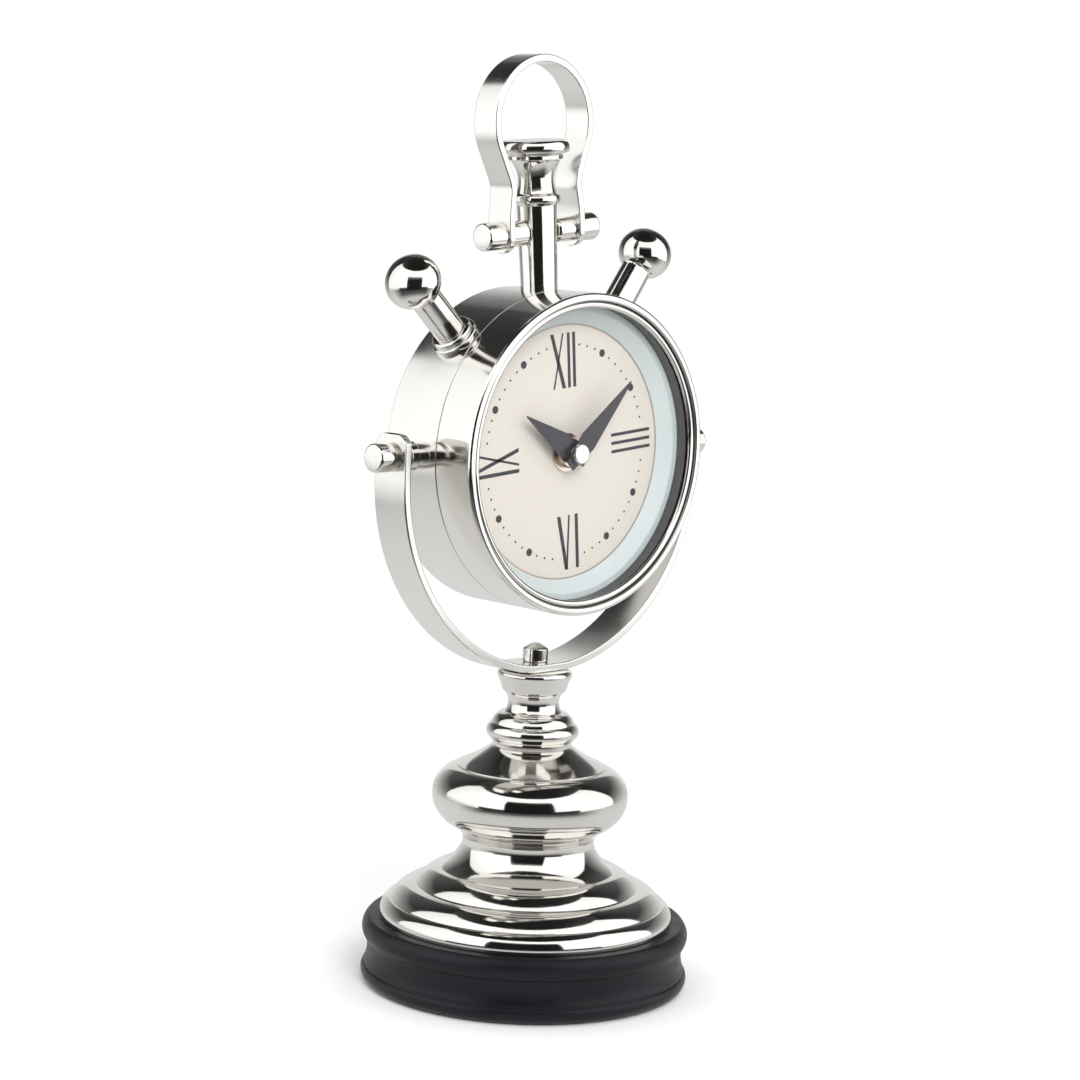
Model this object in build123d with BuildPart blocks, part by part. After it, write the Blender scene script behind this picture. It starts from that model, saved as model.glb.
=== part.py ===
from build123d import *
import os
from math import cos, pi, radians, sin, sqrt

os.makedirs("parts", exist_ok=True)

# Mantel clock: a round case hung between the ears of a yoke, on a turned pedestal and plinth.
# Millimetres. Origin: centre of the resting face. +Z up, the dial faces -Y.

# ---------------------------------------------------------------- driving dimensions
plinth_radius = 62.5
plinth_height = 25.0
pedestal_top = 121.6
wall = 1.6                    # shell of the spun pedestal pieces
rod_radius = 3.0
rod_hole_radius = 3.1

pivot_height = 205.5          # drum axis above the resting face
case_roll = 5.3               # the case sits turned in its pivots, crown to the left
case_radius = 60.0
case_wall = 1.2
seam_depth = 6.5              # depths are measured forward from the pivot plane, towards -Y
bezel_depth = 25.2
back_depth = -20.5
dial_depth = 12.0
dial_radius = 48.0
seat_radius = 55.8            # bore behind the bezel's step, for the surround and the dial
throat_radius = 55.0          # bore in front of the step, up to the glass
glass_radius = 56.8
surround_depth = 16.6
glass_depth = 21.4
glass_thickness = 1.8

yoke_radius = 76.0            # outside of the bend
yoke_thickness = 3.0
yoke_width = 17.0
yoke_flat = 8.0               # half width of the flat seat under the clamp nut
ear_rise = 8.5                # ear above the pivot

pin_radius = 2.0
nut_apothem = 3.5
nut_height = 3.2
fit_gap = 0.08                # radial running clearance
pivot_head_radius = 5.25
pivot_head_length = 7.0
bow_height = 81.6             # bow pivot above the drum axis, along the crown
crown_top = 115.3
pusher_angle = 41.0
pusher_depth = -2.8

movement_size = 56.0
movement_depth = 15.0
shaft_radius = 4.0
arbor_radius = 1.5
hour_hand_angle = -55.0       # clockwise from XII: ten past ten
minute_hand_angle = 50.0


# ---------------------------------------------------------------- frames of reference
def case_direction(angle):
    # unit vector in the dial plane, clockwise from the crown as the front shows it
    turn = radians(angle - case_roll)
    return Vector(sin(turn), 0, cos(turn))


def front_plane(depth, angle=0.0, rise=0.0):
    # dial-parallel plane: x to the right, y up towards the given clock angle, normal forward
    origin = Vector(0, -depth, pivot_height) + case_direction(angle) * rise
    return Plane(origin=origin, x_dir=case_direction(angle + 90), z_dir=(0, -1, 0))


case_centre = Vector(0, 0, pivot_height)
case_axis = Axis(case_centre, (0, -1, 0))
case_section = Plane(origin=case_centre, x_dir=case_direction(0), z_dir=case_direction(90))


def radial_axis(angle, depth=0.0):
    return Axis(Vector(0, -depth, pivot_height), case_direction(angle))


def radial_plane(angle, depth, height):
    # faces outwards at a clock angle, at a height above the drum axis
    origin = Vector(0, -depth, pivot_height)
    return Plane(origin=origin, x_dir=(0, -1, 0), z_dir=case_direction(angle)).offset(height)


def case_ring(inner, outer, near, far):
    # rectangle in the case section: near and far are depths
    with Locations(((inner + outer) / 2, (near + far) / 2)):
        Rectangle(outer - inner, far - near)


def save(name, part):
    part.label = name
    export_step(part, "parts/" + name + ".step")


# ---------------------------------------------------------------- plinth
waist_radius = plinth_radius - 1.9
bead = 4.2
felt_radius = 54.0
felt_thickness = 1.5
felt_stand = 0.4
nut_pocket_radius = 11.0
nut_pocket_depth = 13.0
washer_thickness = 1.2
rod_nut_height = 5.0

with BuildPart() as base_plinth:
    with BuildSketch(Plane.XZ):
        with BuildLine():
            Polyline((rod_hole_radius, felt_stand), (plinth_radius - 2.6, felt_stand))
            foot_bead = ThreePointArc(
                (plinth_radius - 2.6, felt_stand),
                (plinth_radius - 0.3, 2.4),
                (plinth_radius - 0.5, 6.2),
            )
            Polyline(
                foot_bead @ 1,
                (plinth_radius - 1.1, 6.7),
                (plinth_radius - 1.1, 7.4),
            )
            cove = ThreePointArc(
                (plinth_radius - 1.1, 7.4),
                (waist_radius - 0.1, 11.0),
                (waist_radius, 15.4),
            )
            Line(cove @ 1, (waist_radius + 0.3, 16.4))
            top_bead = ThreePointArc(
                (waist_radius + 0.3, 16.4),
                (plinth_radius, 20.8),
                (plinth_radius - 2.2, plinth_height),
            )
            Polyline(
                top_bead @ 1,
                (rod_hole_radius, plinth_height),
                (rod_hole_radius, felt_stand),
            )
        make_face()
    revolve(axis=Axis.Z)
    with BuildSketch(Plane.XY):
        Circle(felt_radius)
    extrude(amount=felt_thickness, mode=Mode.SUBTRACT)
    with BuildSketch(Plane.XY):
        Circle(nut_pocket_radius)
    extrude(amount=nut_pocket_depth, mode=Mode.SUBTRACT)
save("base_plinth", base_plinth.part)

with BuildPart() as base_pad:
    with BuildSketch(Plane.XY):
        Circle(felt_radius - 0.2)
        Circle(nut_pocket_radius, mode=Mode.SUBTRACT)
    extrude(amount=felt_thickness)
save("base_pad", base_pad.part)

# ---------------------------------------------------------------- spun pedestal pieces
foot_seam = 57.0
bulb_seam = 92.0
foot_radius = 56.0

with BuildPart() as pedestal_foot:
    with BuildSketch(Plane.XZ):
        with BuildLine():
            step_one = ThreePointArc((foot_radius, plinth_height), (55.5, 29.1), (52.6, 31.9))
            step_two = ThreePointArc((52.0, 31.9), (48.7, 35.7), (43.0, 37.9))
            step_three = ThreePointArc((42.4, 37.9), (39.0, 41.8), (33.6, 44.4))
            Line(step_one @ 1, step_two @ 0)
            Line(step_two @ 1, step_three @ 0)
            sweep_up = Spline(
                (33.6, 44.4),
                (28.1, 48.6),
                (25.2, 54.6),
                (25.3, foot_seam),
                tangents=[(-0.8, 0.35), (0.12, 1)],
            )
            Polyline(
                sweep_up @ 1,
                (25.3 - 2 * wall, foot_seam),
                (25.3 - 2 * wall, 52.0),
                (31.0, 43.0),
                (41.0, 35.0),
                (50.5, 30.0),
                (foot_radius - 2 * wall, plinth_height),
                (foot_radius, plinth_height),
            )
        make_face()
    revolve(axis=Axis.Z)
save("pedestal_foot", pedestal_foot.part)

with BuildPart() as pedestal_bulb:
    with BuildSketch(Plane.XZ):
        with BuildLine():
            under_collar = ThreePointArc((25.3, foot_seam), (26.7, 59.0), (29.6, 61.2))
            bulge = Spline(
                (29.6, 61.6),
                (34.4, 64.9),
                (37.4, 72.8),
                (34.6, 79.9),
                (28.4, 84.2),
                tangents=[(0.9, 0.45), (-0.86, 0.5)],
            )
            Line(under_collar @ 1, bulge @ 0)
            cone = ThreePointArc((28.4, 84.4), (22.6, 87.2), (15.4, bulb_seam))
            Line(bulge @ 1, cone @ 0)
            Polyline(
                cone @ 1,
                (rod_hole_radius, bulb_seam),
                (rod_hole_radius, bulb_seam - 3 * wall),
                (14.0, bulb_seam - 3 * wall),
                (26.0, 82.5),
                (33.0, 78.5),
                (35.5, 72.8),
                (32.5, 66.0),
                (25.3 - wall, 60.2),
                (25.3 - wall, foot_seam),
                (25.3, foot_seam),
            )
        make_face()
    revolve(axis=Axis.Z)
save("pedestal_bulb", pedestal_bulb.part)

with BuildPart() as pedestal_neck:
    with BuildSketch(Plane.XZ):
        with BuildLine():
            base_fillet = ThreePointArc((14.9, bulb_seam), (15.2, 93.6), (16.4, 95.2))
            large_bead = ThreePointArc(base_fillet @ 1, (17.6, 98.0), (15.6, 100.9))
            small_bead = ThreePointArc(large_bead @ 1, (14.7, 103.0), (12.9, 104.6))
            Line(small_bead @ 1, (10.9, 105.4))
            waist = ThreePointArc((10.9, 105.4), (9.75, 110.0), (11.6, 113.2))
            Line(waist @ 1, (12.1, 113.6))
            cup = ThreePointArc((12.1, 113.6), (13.0, 116.4), (14.0, 119.0))
            rim = ThreePointArc(cup @ 1, (14.0, 120.6), (12.8, pedestal_top))
            Polyline(
                rim @ 1,
                (rod_hole_radius, pedestal_top),
                (rod_hole_radius, bulb_seam),
                (14.9, bulb_seam),
            )
        make_face()
    revolve(axis=Axis.Z)
save("pedestal_neck", pedestal_neck.part)

# ---------------------------------------------------------------- tie rod and its nuts
yoke_seat = pedestal_top + yoke_thickness
rod_bottom = nut_pocket_depth - washer_thickness - rod_nut_height - 2.0
clamp_nut_radius = 4.8
clamp_nut_height = 4.9
clamp_nut_cone = 2.3

with BuildPart() as tie_rod:
    with BuildSketch(Plane.XY.offset(rod_bottom)):
        Circle(rod_radius)
    extrude(amount=yoke_seat + clamp_nut_height - rod_bottom)
save("tie_rod", tie_rod.part)

with BuildPart() as tie_washer:
    with BuildSketch(Plane.XY.offset(nut_pocket_depth - washer_thickness)):
        Circle(nut_pocket_radius - 1.0)
        Circle(rod_hole_radius, mode=Mode.SUBTRACT)
    extrude(amount=washer_thickness)
save("tie_washer", tie_washer.part)

with BuildPart() as tie_nut:
    with BuildSketch(Plane.XY.offset(nut_pocket_depth - washer_thickness - rod_nut_height)):
        RegularPolygon(radius=5.0, side_count=6, major_radius=False)
        Circle(rod_radius, mode=Mode.SUBTRACT)
    extrude(amount=rod_nut_height)
save("tie_nut", tie_nut.part)

clamp_nut_shoulder = yoke_seat + clamp_nut_height
with BuildPart() as yoke_clamp_nut:
    with BuildSketch(Plane.XZ):
        with BuildLine():
            Polyline(
                (rod_radius, yoke_seat),
                (clamp_nut_radius - 0.3, yoke_seat),
                (clamp_nut_radius, yoke_seat + 0.3),
                (clamp_nut_radius, clamp_nut_shoulder),
                (clamp_nut_radius - 0.8, clamp_nut_shoulder + 0.6),
                (1.4, clamp_nut_shoulder + clamp_nut_cone - 0.3),
                (0, clamp_nut_shoulder + clamp_nut_cone),
                (0, clamp_nut_shoulder),
                (rod_radius, clamp_nut_shoulder),
                close=True,
            )
        make_face()
    revolve(axis=Axis.Z)
save("yoke_clamp_nut", yoke_clamp_nut.part)

# ---------------------------------------------------------------- yoke
bend_centre = pedestal_top + sqrt(yoke_radius**2 - yoke_flat**2)
inner_radius = yoke_radius - yoke_thickness
inner_flat = sqrt(inner_radius**2 - (bend_centre - yoke_seat) ** 2)
ear_top = pivot_height + ear_rise
ear_corner = 5.0


def bend_point(radius, angle):
    # point of the bend, angle measured from straight down
    return (radius * sin(radians(angle)), bend_centre - radius * cos(radians(angle)))


with BuildPart() as yoke:
    with BuildSketch(Plane.XZ):
        with BuildLine():
            for side in (1, -1):
                ThreePointArc(
                    (side * yoke_flat, pedestal_top),
                    (side * bend_point(yoke_radius, 45)[0], bend_point(yoke_radius, 45)[1]),
                    (side * yoke_radius, bend_centre),
                )
                ThreePointArc(
                    (side * inner_flat, yoke_seat),
                    (side * bend_point(inner_radius, 45)[0], bend_point(inner_radius, 45)[1]),
                    (side * inner_radius, bend_centre),
                )
                Polyline(
                    (side * yoke_radius, bend_centre),
                    (side * yoke_radius, ear_top),
                    (side * inner_radius, ear_top),
                    (side * inner_radius, bend_centre),
                )
            Line((-yoke_flat, pedestal_top), (yoke_flat, pedestal_top))
            Line((-inner_flat, yoke_seat), (inner_flat, yoke_seat))
        make_face()
    extrude(amount=yoke_width / 2, both=True)
    with BuildSketch(Plane.YZ):
        with Locations((0, ear_top - yoke_radius)):
            RectangleRounded(yoke_width, 2 * yoke_radius, ear_corner)
        with Locations((0, pivot_height)):
            Circle(pin_radius + fit_gap, mode=Mode.SUBTRACT)
    extrude(amount=yoke_radius + 1, both=True, mode=Mode.INTERSECT)
    with BuildSketch(Plane.XY.offset(pedestal_top - 1)):
        Circle(rod_hole_radius)
    extrude(amount=yoke_thickness + 2, mode=Mode.SUBTRACT)
save("yoke", yoke.part)

# ---------------------------------------------------------------- case: rear can and bezel
flange_depth = back_depth + 2.6
flange_inner = 50.0
cover_screw_circle = 54.5
cover_screw_count = 4
cover_screw_radius = 1.25
spigot_end = 4.4
spigot_outer = case_radius - case_wall - 0.1
spigot_inner = 57.2

with BuildPart() as rear_can:
    with BuildSketch(case_section):
        case_ring(case_radius - case_wall, case_radius, back_depth, seam_depth)
        case_ring(flange_inner, case_radius - case_wall, flange_depth, flange_depth + case_wall)
    revolve(axis=case_axis)
    fillet(rear_can.edges().group_by(Axis.Y)[-1], radius=case_wall / 2 - 0.05)
    with BuildSketch(front_plane(flange_depth - 1)):
        with PolarLocations(cover_screw_circle, cover_screw_count, start_angle=45):
            Circle(cover_screw_radius)
    extrude(amount=case_wall + 2, mode=Mode.SUBTRACT)
    with BuildSketch(Plane.YZ):
        with Locations((0, pivot_height)):
            Circle(pin_radius + 0.05)
    extrude(amount=case_radius + 2, both=True, mode=Mode.SUBTRACT)
    for angle, depth in ((0, 0), (-pusher_angle, pusher_depth), (pusher_angle, pusher_depth)):
        with BuildSketch(radial_plane(angle, depth, case_radius - 6)):
            Circle(pin_radius + 0.05)
        extrude(amount=8, mode=Mode.SUBTRACT)
save("rear_can", rear_can.part)

lip_round = 1.4
glass_seat_radius = glass_radius + 0.2

with BuildPart() as front_bezel:
    with BuildSketch(case_section):
        with BuildLine():
            Polyline(
                (spigot_outer, spigot_end),
                (spigot_outer, seam_depth),
                (case_radius, seam_depth),
                (case_radius, bezel_depth - lip_round),
            )
            lip = ThreePointArc(
                (case_radius, bezel_depth - lip_round),
                (case_radius - 0.4, bezel_depth - 0.4),
                (case_radius - lip_round, bezel_depth),
            )
            Polyline(
                lip @ 1,
                (glass_seat_radius + 0.5, bezel_depth),
                (glass_seat_radius, bezel_depth - 0.5),
                (glass_seat_radius, glass_depth),
                (throat_radius, glass_depth),
                (throat_radius, surround_depth),
                (seat_radius, surround_depth),
                (seat_radius, dial_depth - 4.0),
                (spigot_inner, dial_depth - 4.0),
                (spigot_inner, spigot_end),
                (spigot_outer, spigot_end),
            )
        make_face()
    revolve(axis=case_axis)
save("front_bezel", front_bezel.part)

with BuildPart() as glass:
    with BuildSketch(front_plane(glass_depth)):
        Circle(glass_radius)
    extrude(amount=glass_thickness)
save("glass", glass.part)

glass_ring_width = 2.4
glass_front = glass_depth + glass_thickness
with BuildPart() as glass_ring:
    with BuildSketch(case_section):
        with BuildLine():
            Polyline(
                (glass_radius - glass_ring_width, glass_front),
                (glass_radius, glass_front),
                (glass_radius, glass_front + 0.6),
            )
            crown_of_ring = ThreePointArc(
                (glass_radius, glass_front + 0.6),
                (glass_radius - glass_ring_width / 2, glass_front + 1.2),
                (glass_radius - glass_ring_width, glass_front + 0.3),
            )
            Line(crown_of_ring @ 1, (glass_radius - glass_ring_width, glass_front))
        make_face()
    revolve(axis=case_axis)
save("glass_ring", glass_ring.part)

with BuildPart() as dial_surround:
    with BuildSketch(case_section):
        with BuildLine():
            Polyline(
                (dial_radius, dial_depth),
                (dial_radius, dial_depth + 0.3),
                (dial_radius + 4.4, surround_depth - 0.2),
                (dial_radius + 4.8, surround_depth),
                (seat_radius - 0.2, surround_depth),
                (seat_radius - 0.2, dial_depth),
                close=True,
            )
        make_face()
    revolve(axis=case_axis)
save("dial_surround", dial_surround.part)

dial_thickness = 0.8
with BuildPart() as dial:
    with BuildSketch(front_plane(dial_depth - dial_thickness)):
        Circle(seat_radius - 0.2)
        Circle(shaft_radius + 0.1, mode=Mode.SUBTRACT)
    extrude(amount=dial_thickness)
save("dial", dial.part)

ring_thickness = 1.5
ring_gap = 14.0
with BuildPart() as dial_snap_ring:
    with BuildSketch(front_plane(dial_depth - dial_thickness - ring_thickness)):
        Circle(seat_radius - 0.1)
        Circle(seat_radius - 3.5, mode=Mode.SUBTRACT)
        with Locations((0, -seat_radius)):
            Rectangle(ring_gap, ring_gap, mode=Mode.SUBTRACT)
    extrude(amount=ring_thickness)
save("dial_snap_ring", dial_snap_ring.part)

# ---------------------------------------------------------------- back cover, cap and screws
cover_thickness = 1.0
cover_depth = flange_depth - cover_thickness
cap_radius = 36.0

with BuildPart() as back_cover:
    with BuildSketch(front_plane(cover_depth)):
        Circle(case_radius - case_wall - 0.3)
        Circle(cap_radius, mode=Mode.SUBTRACT)
        with PolarLocations(cover_screw_circle, cover_screw_count, start_angle=45):
            Circle(cover_screw_radius + 0.2, mode=Mode.SUBTRACT)
    extrude(amount=cover_thickness)
save("back_cover", back_cover.part)

cap_flange = 1.2
finger_slot_length = 26.0
finger_slot_width = 9.0
with BuildPart() as back_cap:
    with BuildSketch(front_plane(cover_depth - cap_flange)):
        Circle(cap_radius + 2.5)
    extrude(amount=cap_flange)
    fillet(back_cap.edges().group_by(Axis.Y)[-1], radius=0.5)
    with BuildSketch(front_plane(cover_depth)):
        Circle(cap_radius - 0.2)
        Circle(cap_radius - 2.0, mode=Mode.SUBTRACT)
    extrude(amount=cover_thickness + 2.0)
    with BuildSketch(front_plane(cover_depth - cap_flange)):
        SlotOverall(finger_slot_length, finger_slot_width)
    extrude(amount=0.6, mode=Mode.SUBTRACT)
save("back_cap", back_cap.part)

cover_screw_head = 1.3
with BuildPart() as back_cover_screws:
    with BuildSketch(front_plane(cover_depth - cover_screw_head)):
        with PolarLocations(cover_screw_circle, cover_screw_count, start_angle=45):
            Circle(2.3)
    extrude(amount=cover_screw_head)
    fillet(back_cover_screws.edges().group_by(Axis.Y)[-1], radius=0.6)
    with BuildSketch(front_plane(cover_depth)):
        with PolarLocations(cover_screw_circle, cover_screw_count, start_angle=45):
            Circle(cover_screw_radius)
    extrude(amount=5.0)
    with BuildSketch(front_plane(cover_depth - cover_screw_head)):
        with PolarLocations(cover_screw_circle, cover_screw_count, start_angle=45):
            Rectangle(2.8, 0.6)
            Rectangle(0.6, 2.8)
    extrude(amount=0.7, mode=Mode.SUBTRACT)
save("back_cover_screws", back_cover_screws.part)

# ---------------------------------------------------------------- pivots of the case
pivot_washer = 1.3
spacer_start = yoke_radius - yoke_thickness - 0.05


def turned_piece(plane, axis, points):
    # a turned piece from its closed half profile
    with BuildPart() as piece:
        with BuildSketch(plane):
            with BuildLine():
                Polyline(*points, close=True)
            make_face()
        revolve(axis=axis)
    return piece.part


def case_core(radius):
    # the round of the case, to rest turned pieces on
    with BuildPart(mode=Mode.PRIVATE) as core:
        with BuildSketch(front_plane(-40)):
            Circle(radius)
        extrude(amount=80)
    return core.part


def hex_nut(plane):
    with BuildPart() as nut:
        with BuildSketch(plane):
            RegularPolygon(radius=nut_apothem, side_count=6, major_radius=False)
            Circle(pin_radius, mode=Mode.SUBTRACT)
        extrude(amount=nut_height)
    return nut.part


pivot_plane = Plane.XZ.shift_origin((0, 0, pivot_height))
pivot_axis = Axis(case_centre, (1, 0, 0))
nut_seat = case_radius - case_wall - 0.3
shank_end = nut_seat - nut_height - 2.5

for side, hand in ((-1, "left"), (1, "right")):
    head_start = yoke_radius + 0.05 + pivot_washer
    head_end = head_start + pivot_head_length
    screw_points = [
        (side * shank_end, 0),
        (side * shank_end, pin_radius),
        (side * head_start, pin_radius),
        (side * head_start, pivot_head_radius),
        (side * (head_end - 1.2), pivot_head_radius),
        (side * (head_end - 0.3), pivot_head_radius - 0.9),
        (side * head_end, pivot_head_radius - 2.4),
        (side * head_end, 0),
    ]
    save("pivot_screw_" + hand, turned_piece(pivot_plane, pivot_axis, screw_points))
    washer_points = [
        (side * (yoke_radius + 0.05), pin_radius),
        (side * (yoke_radius + 0.05), pin_radius + 1.6),
        (side * head_start, pin_radius + 1.6),
        (side * head_start, pin_radius),
    ]
    save("pivot_washer_" + hand, turned_piece(pivot_plane, pivot_axis, washer_points))
    spacer_points = [
        (side * spacer_start, pin_radius),
        (side * spacer_start, 4.2),
        (side * (spacer_start - 2.0), 4.2),
        (side * (spacer_start - 2.8), 5.9),
        (side * (spacer_start - 6.0), 5.9),
        (side * (spacer_start - 6.6), 5.0),
        (side * (case_radius - 1.0), 5.0),
        (side * (case_radius - 1.0), pin_radius),
    ]
    with BuildPart() as pivot_spacer:
        add(turned_piece(pivot_plane, pivot_axis, spacer_points))
        add(case_core(case_radius), mode=Mode.SUBTRACT)
    save("pivot_spacer_" + hand, pivot_spacer.part)
    nut_plane = Plane(origin=case_centre, z_dir=(side, 0, 0)).offset(nut_seat - nut_height)
    save("pivot_nut_" + hand, hex_nut(nut_plane))

# ---------------------------------------------------------------- crown
crown_plane = front_plane(0)
crown_axis = radial_axis(0)
stem_radius = 6.9
bow_pin_radius = 1.5
bow_hinge_point = case_centre + case_direction(0) * bow_height
bow_hinge_plane = Plane(origin=bow_hinge_point, z_dir=case_direction(90))

with BuildPart() as crown_stem:
    with BuildSketch(crown_plane):
        with BuildLine():
            Polyline((0, 58.0), (stem_radius, 58.0), (stem_radius, 62.0), (7.5, 91.6), (8.5, 92.4))
            ring = ThreePointArc((8.5, 92.4), (8.9, 93.9), (8.5, 95.3))
            neck = ThreePointArc((7.6, 95.9), (6.75, 101.0), (9.4, 107.9))
            Line(ring @ 1, neck @ 0)
            Polyline(neck @ 1, (10.3, 108.4), (10.3, 109.9), (11.4, 110.5), (12.4, 110.9))
            disc = ThreePointArc((12.4, 110.9), (13.0, 113.0), (12.4, crown_top - 0.5))
            Polyline(disc @ 1, (11.8, crown_top), (0, crown_top), (0, 58.0))
        make_face()
    revolve(axis=crown_axis)
    add(case_core(case_radius), mode=Mode.SUBTRACT)
    with BuildSketch(radial_plane(0, 0, shank_end)):
        Circle(pin_radius)
    extrude(amount=case_radius - shank_end + 3)
    with BuildSketch(bow_hinge_plane):
        Circle(bow_pin_radius)
    extrude(amount=stem_radius + 2, both=True, mode=Mode.SUBTRACT)
    with BuildSketch(bow_hinge_plane):
        Circle(bow_pin_radius)
    extrude(amount=stem_radius - 2, both=True)
save("crown_stem", crown_stem.part)
save("crown_nut", hex_nut(radial_plane(0, 0, nut_seat - nut_height)))

# ---------------------------------------------------------------- bow and its pins
bow_width = 12.0
bow_thickness = 2.8
loop_radius = 24.75
loop_top = 146.6
loop_centre = loop_top - loop_radius
leg_pin = 19.2                # outside of the flat ears at the pins
leg_neck = 17.5               # outside of the legs at the neck
neck_height = 99.5
leg_end = bow_height - 6.6
ear_flat = 6.5                # flat of the ear above the pin
shoulder_angle = 113.0        # end of the round part, from the top of the loop


def loop_point(radius, angle):
    return (radius * sin(radians(angle)), loop_centre + radius * cos(radians(angle)))


with BuildPart() as bow:
    with BuildSketch(crown_plane):
        with BuildLine():
            mid = loop_radius - bow_thickness / 2
            for side in (1, -1):
                start = loop_point(mid, shoulder_angle * side)
                Polyline(
                    start,
                    (side * (leg_neck - bow_thickness / 2), neck_height),
                    (side * (leg_pin - bow_thickness / 2), bow_height + ear_flat),
                    (side * (leg_pin - bow_thickness / 2), leg_end),
                )
            ThreePointArc(
                loop_point(mid, -shoulder_angle),
                loop_point(mid, 0),
                loop_point(mid, shoulder_angle),
            )
            offset(amount=bow_thickness / 2, kind=Kind.INTERSECTION, side=Side.BOTH)
        make_face()
    extrude(amount=bow_width / 2, both=True)
    with BuildSketch(case_section):
        with Locations(((leg_end + loop_top + 20) / 2, 0)):
            SlotOverall(loop_top + 20 - leg_end, bow_width)
    extrude(amount=loop_radius + 2, both=True, mode=Mode.INTERSECT)
    with BuildSketch(bow_hinge_plane):
        Circle(bow_pin_radius + fit_gap)
    extrude(amount=loop_radius, both=True, mode=Mode.SUBTRACT)
save("bow", bow.part)

bow_head_radius = 5.15
bow_head_length = 9.0
leg_outside = leg_pin + 0.05
leg_inside = leg_pin - bow_thickness - 0.05
hinge_section = crown_plane.shift_origin(bow_hinge_point)
hinge_axis = Axis(bow_hinge_point, case_direction(90))
for side, hand in ((-1, "left"), (1, "right")):
    pin_points = [
        (side * (stem_radius - 1.9), 0),
        (side * (stem_radius - 1.9), bow_pin_radius),
        (side * leg_outside, bow_pin_radius),
        (side * leg_outside, bow_head_radius),
        (side * (leg_outside + bow_head_length - 1.2), bow_head_radius),
        (side * (leg_outside + bow_head_length - 0.3), bow_head_radius - 0.9),
        (side * (leg_outside + bow_head_length), bow_head_radius - 2.4),
        (side * (leg_outside + bow_head_length), 0),
    ]
    save("bow_pin_" + hand, turned_piece(hinge_section, hinge_axis, pin_points))
    spacer_points = [
        (side * (stem_radius + 0.6), bow_pin_radius),
        (side * (stem_radius + 0.6), 3.9),
        (side * (stem_radius + 1.4), 4.65),
        (side * leg_inside, 4.65),
        (side * leg_inside, bow_pin_radius),
    ]
    save("bow_spacer_" + hand, turned_piece(hinge_section, hinge_axis, spacer_points))

# ---------------------------------------------------------------- pushers, fixed ornaments
collar_radius = 9.0
collar_top = 64.8
pusher_stem_radius = 5.7
ball_centre = 90.5
ball_radius = 10.4
ball_flat = 9.5               # half height of the slightly flattened ball


def ball_point(turn):
    # point of the ball's slightly flattened outline, from its widest place
    return (ball_radius * cos(radians(turn)), ball_centre + ball_flat * sin(radians(turn)))


for side, hand in ((-1, "left"), (1, "right")):
    angle = side * pusher_angle
    pusher_section = front_plane(pusher_depth, angle)
    pusher_axis = radial_axis(angle, pusher_depth)
    with BuildPart() as pusher_collar:
        with BuildSketch(pusher_section):
            with BuildLine():
                Polyline((pin_radius, 58.0), (collar_radius, 58.0), (collar_radius, 61.6))
                lower = ThreePointArc((collar_radius, 61.6), (8.8, 62.3), (8.0, 62.6))
                Line(lower @ 1, (7.8, 62.9))
                upper = ThreePointArc((7.8, 62.9), (7.9, 64.1), (7.0, collar_top))
                Polyline(upper @ 1, (pin_radius, collar_top), (pin_radius, 58.0))
            make_face()
        revolve(axis=pusher_axis)
        add(case_core(case_radius), mode=Mode.SUBTRACT)
    save("pusher_collar_" + hand, pusher_collar.part)

    stem_meets_ball = ball_centre - ball_flat * sqrt(1 - (pusher_stem_radius / ball_radius) ** 2)
    with BuildPart() as pusher:
        with BuildSketch(pusher_section):
            with BuildLine():
                Polyline(
                    (0, ball_centre + ball_flat),
                    (0, shank_end),
                    (pin_radius, shank_end),
                    (pin_radius, collar_top),
                    (pusher_stem_radius + 0.3, collar_top),
                    (pusher_stem_radius, stem_meets_ball),
                )
                Spline(
                    (pusher_stem_radius, stem_meets_ball),
                    ball_point(-28),
                    ball_point(0),
                    ball_point(30),
                    ball_point(60),
                    (0, ball_centre + ball_flat),
                    tangents=[(0.86, 0.51), (-1, 0)],
                )
            make_face()
        revolve(axis=pusher_axis)
    save("pusher_" + hand, pusher.part)
    save("pusher_nut_" + hand, hex_nut(radial_plane(angle, pusher_depth, nut_seat - nut_height)))

# ---------------------------------------------------------------- quartz movement
case_front = dial_depth - dial_thickness
case_back = case_front - movement_depth
shell = 1.2
bay_top = -10.6               # upper wall of the battery bay
half = movement_size / 2
pipe_radius = 2.5
thread_end = 16.0
cover_plate = 1.2
setting_distance = 8.4        # centre of the motion-work arbor above the hands
setting_arbor_radius = 0.75

with BuildPart() as movement_case:
    with BuildSketch(front_plane(case_back)):
        RectangleRounded(movement_size, movement_size, 2.5)
    extrude(amount=movement_depth)
    with BuildSketch(front_plane(case_back)):
        with Locations((0, (bay_top + half) / 2)):
            Rectangle(movement_size - 2 * shell, half - bay_top - 2 * shell)
        with Locations((0, (bay_top - half) / 2)):
            Rectangle(movement_size - 2 * shell, half + bay_top - 2 * shell)
    extrude(amount=movement_depth - shell, mode=Mode.SUBTRACT)
    with BuildSketch(front_plane(case_front - shell)):
        Circle(shaft_radius)
    extrude(amount=thread_end - case_front + shell)
    with BuildSketch(front_plane(case_front - shell - 1)):
        Circle(pipe_radius + fit_gap)
    extrude(amount=thread_end, mode=Mode.SUBTRACT)
    with BuildSketch(front_plane(case_front - shell)):
        with Locations((0, setting_distance)):
            Circle(setting_arbor_radius + 0.05)
    extrude(amount=shell - 0.3, mode=Mode.SUBTRACT)
save("movement_case", movement_case.part)

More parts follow.
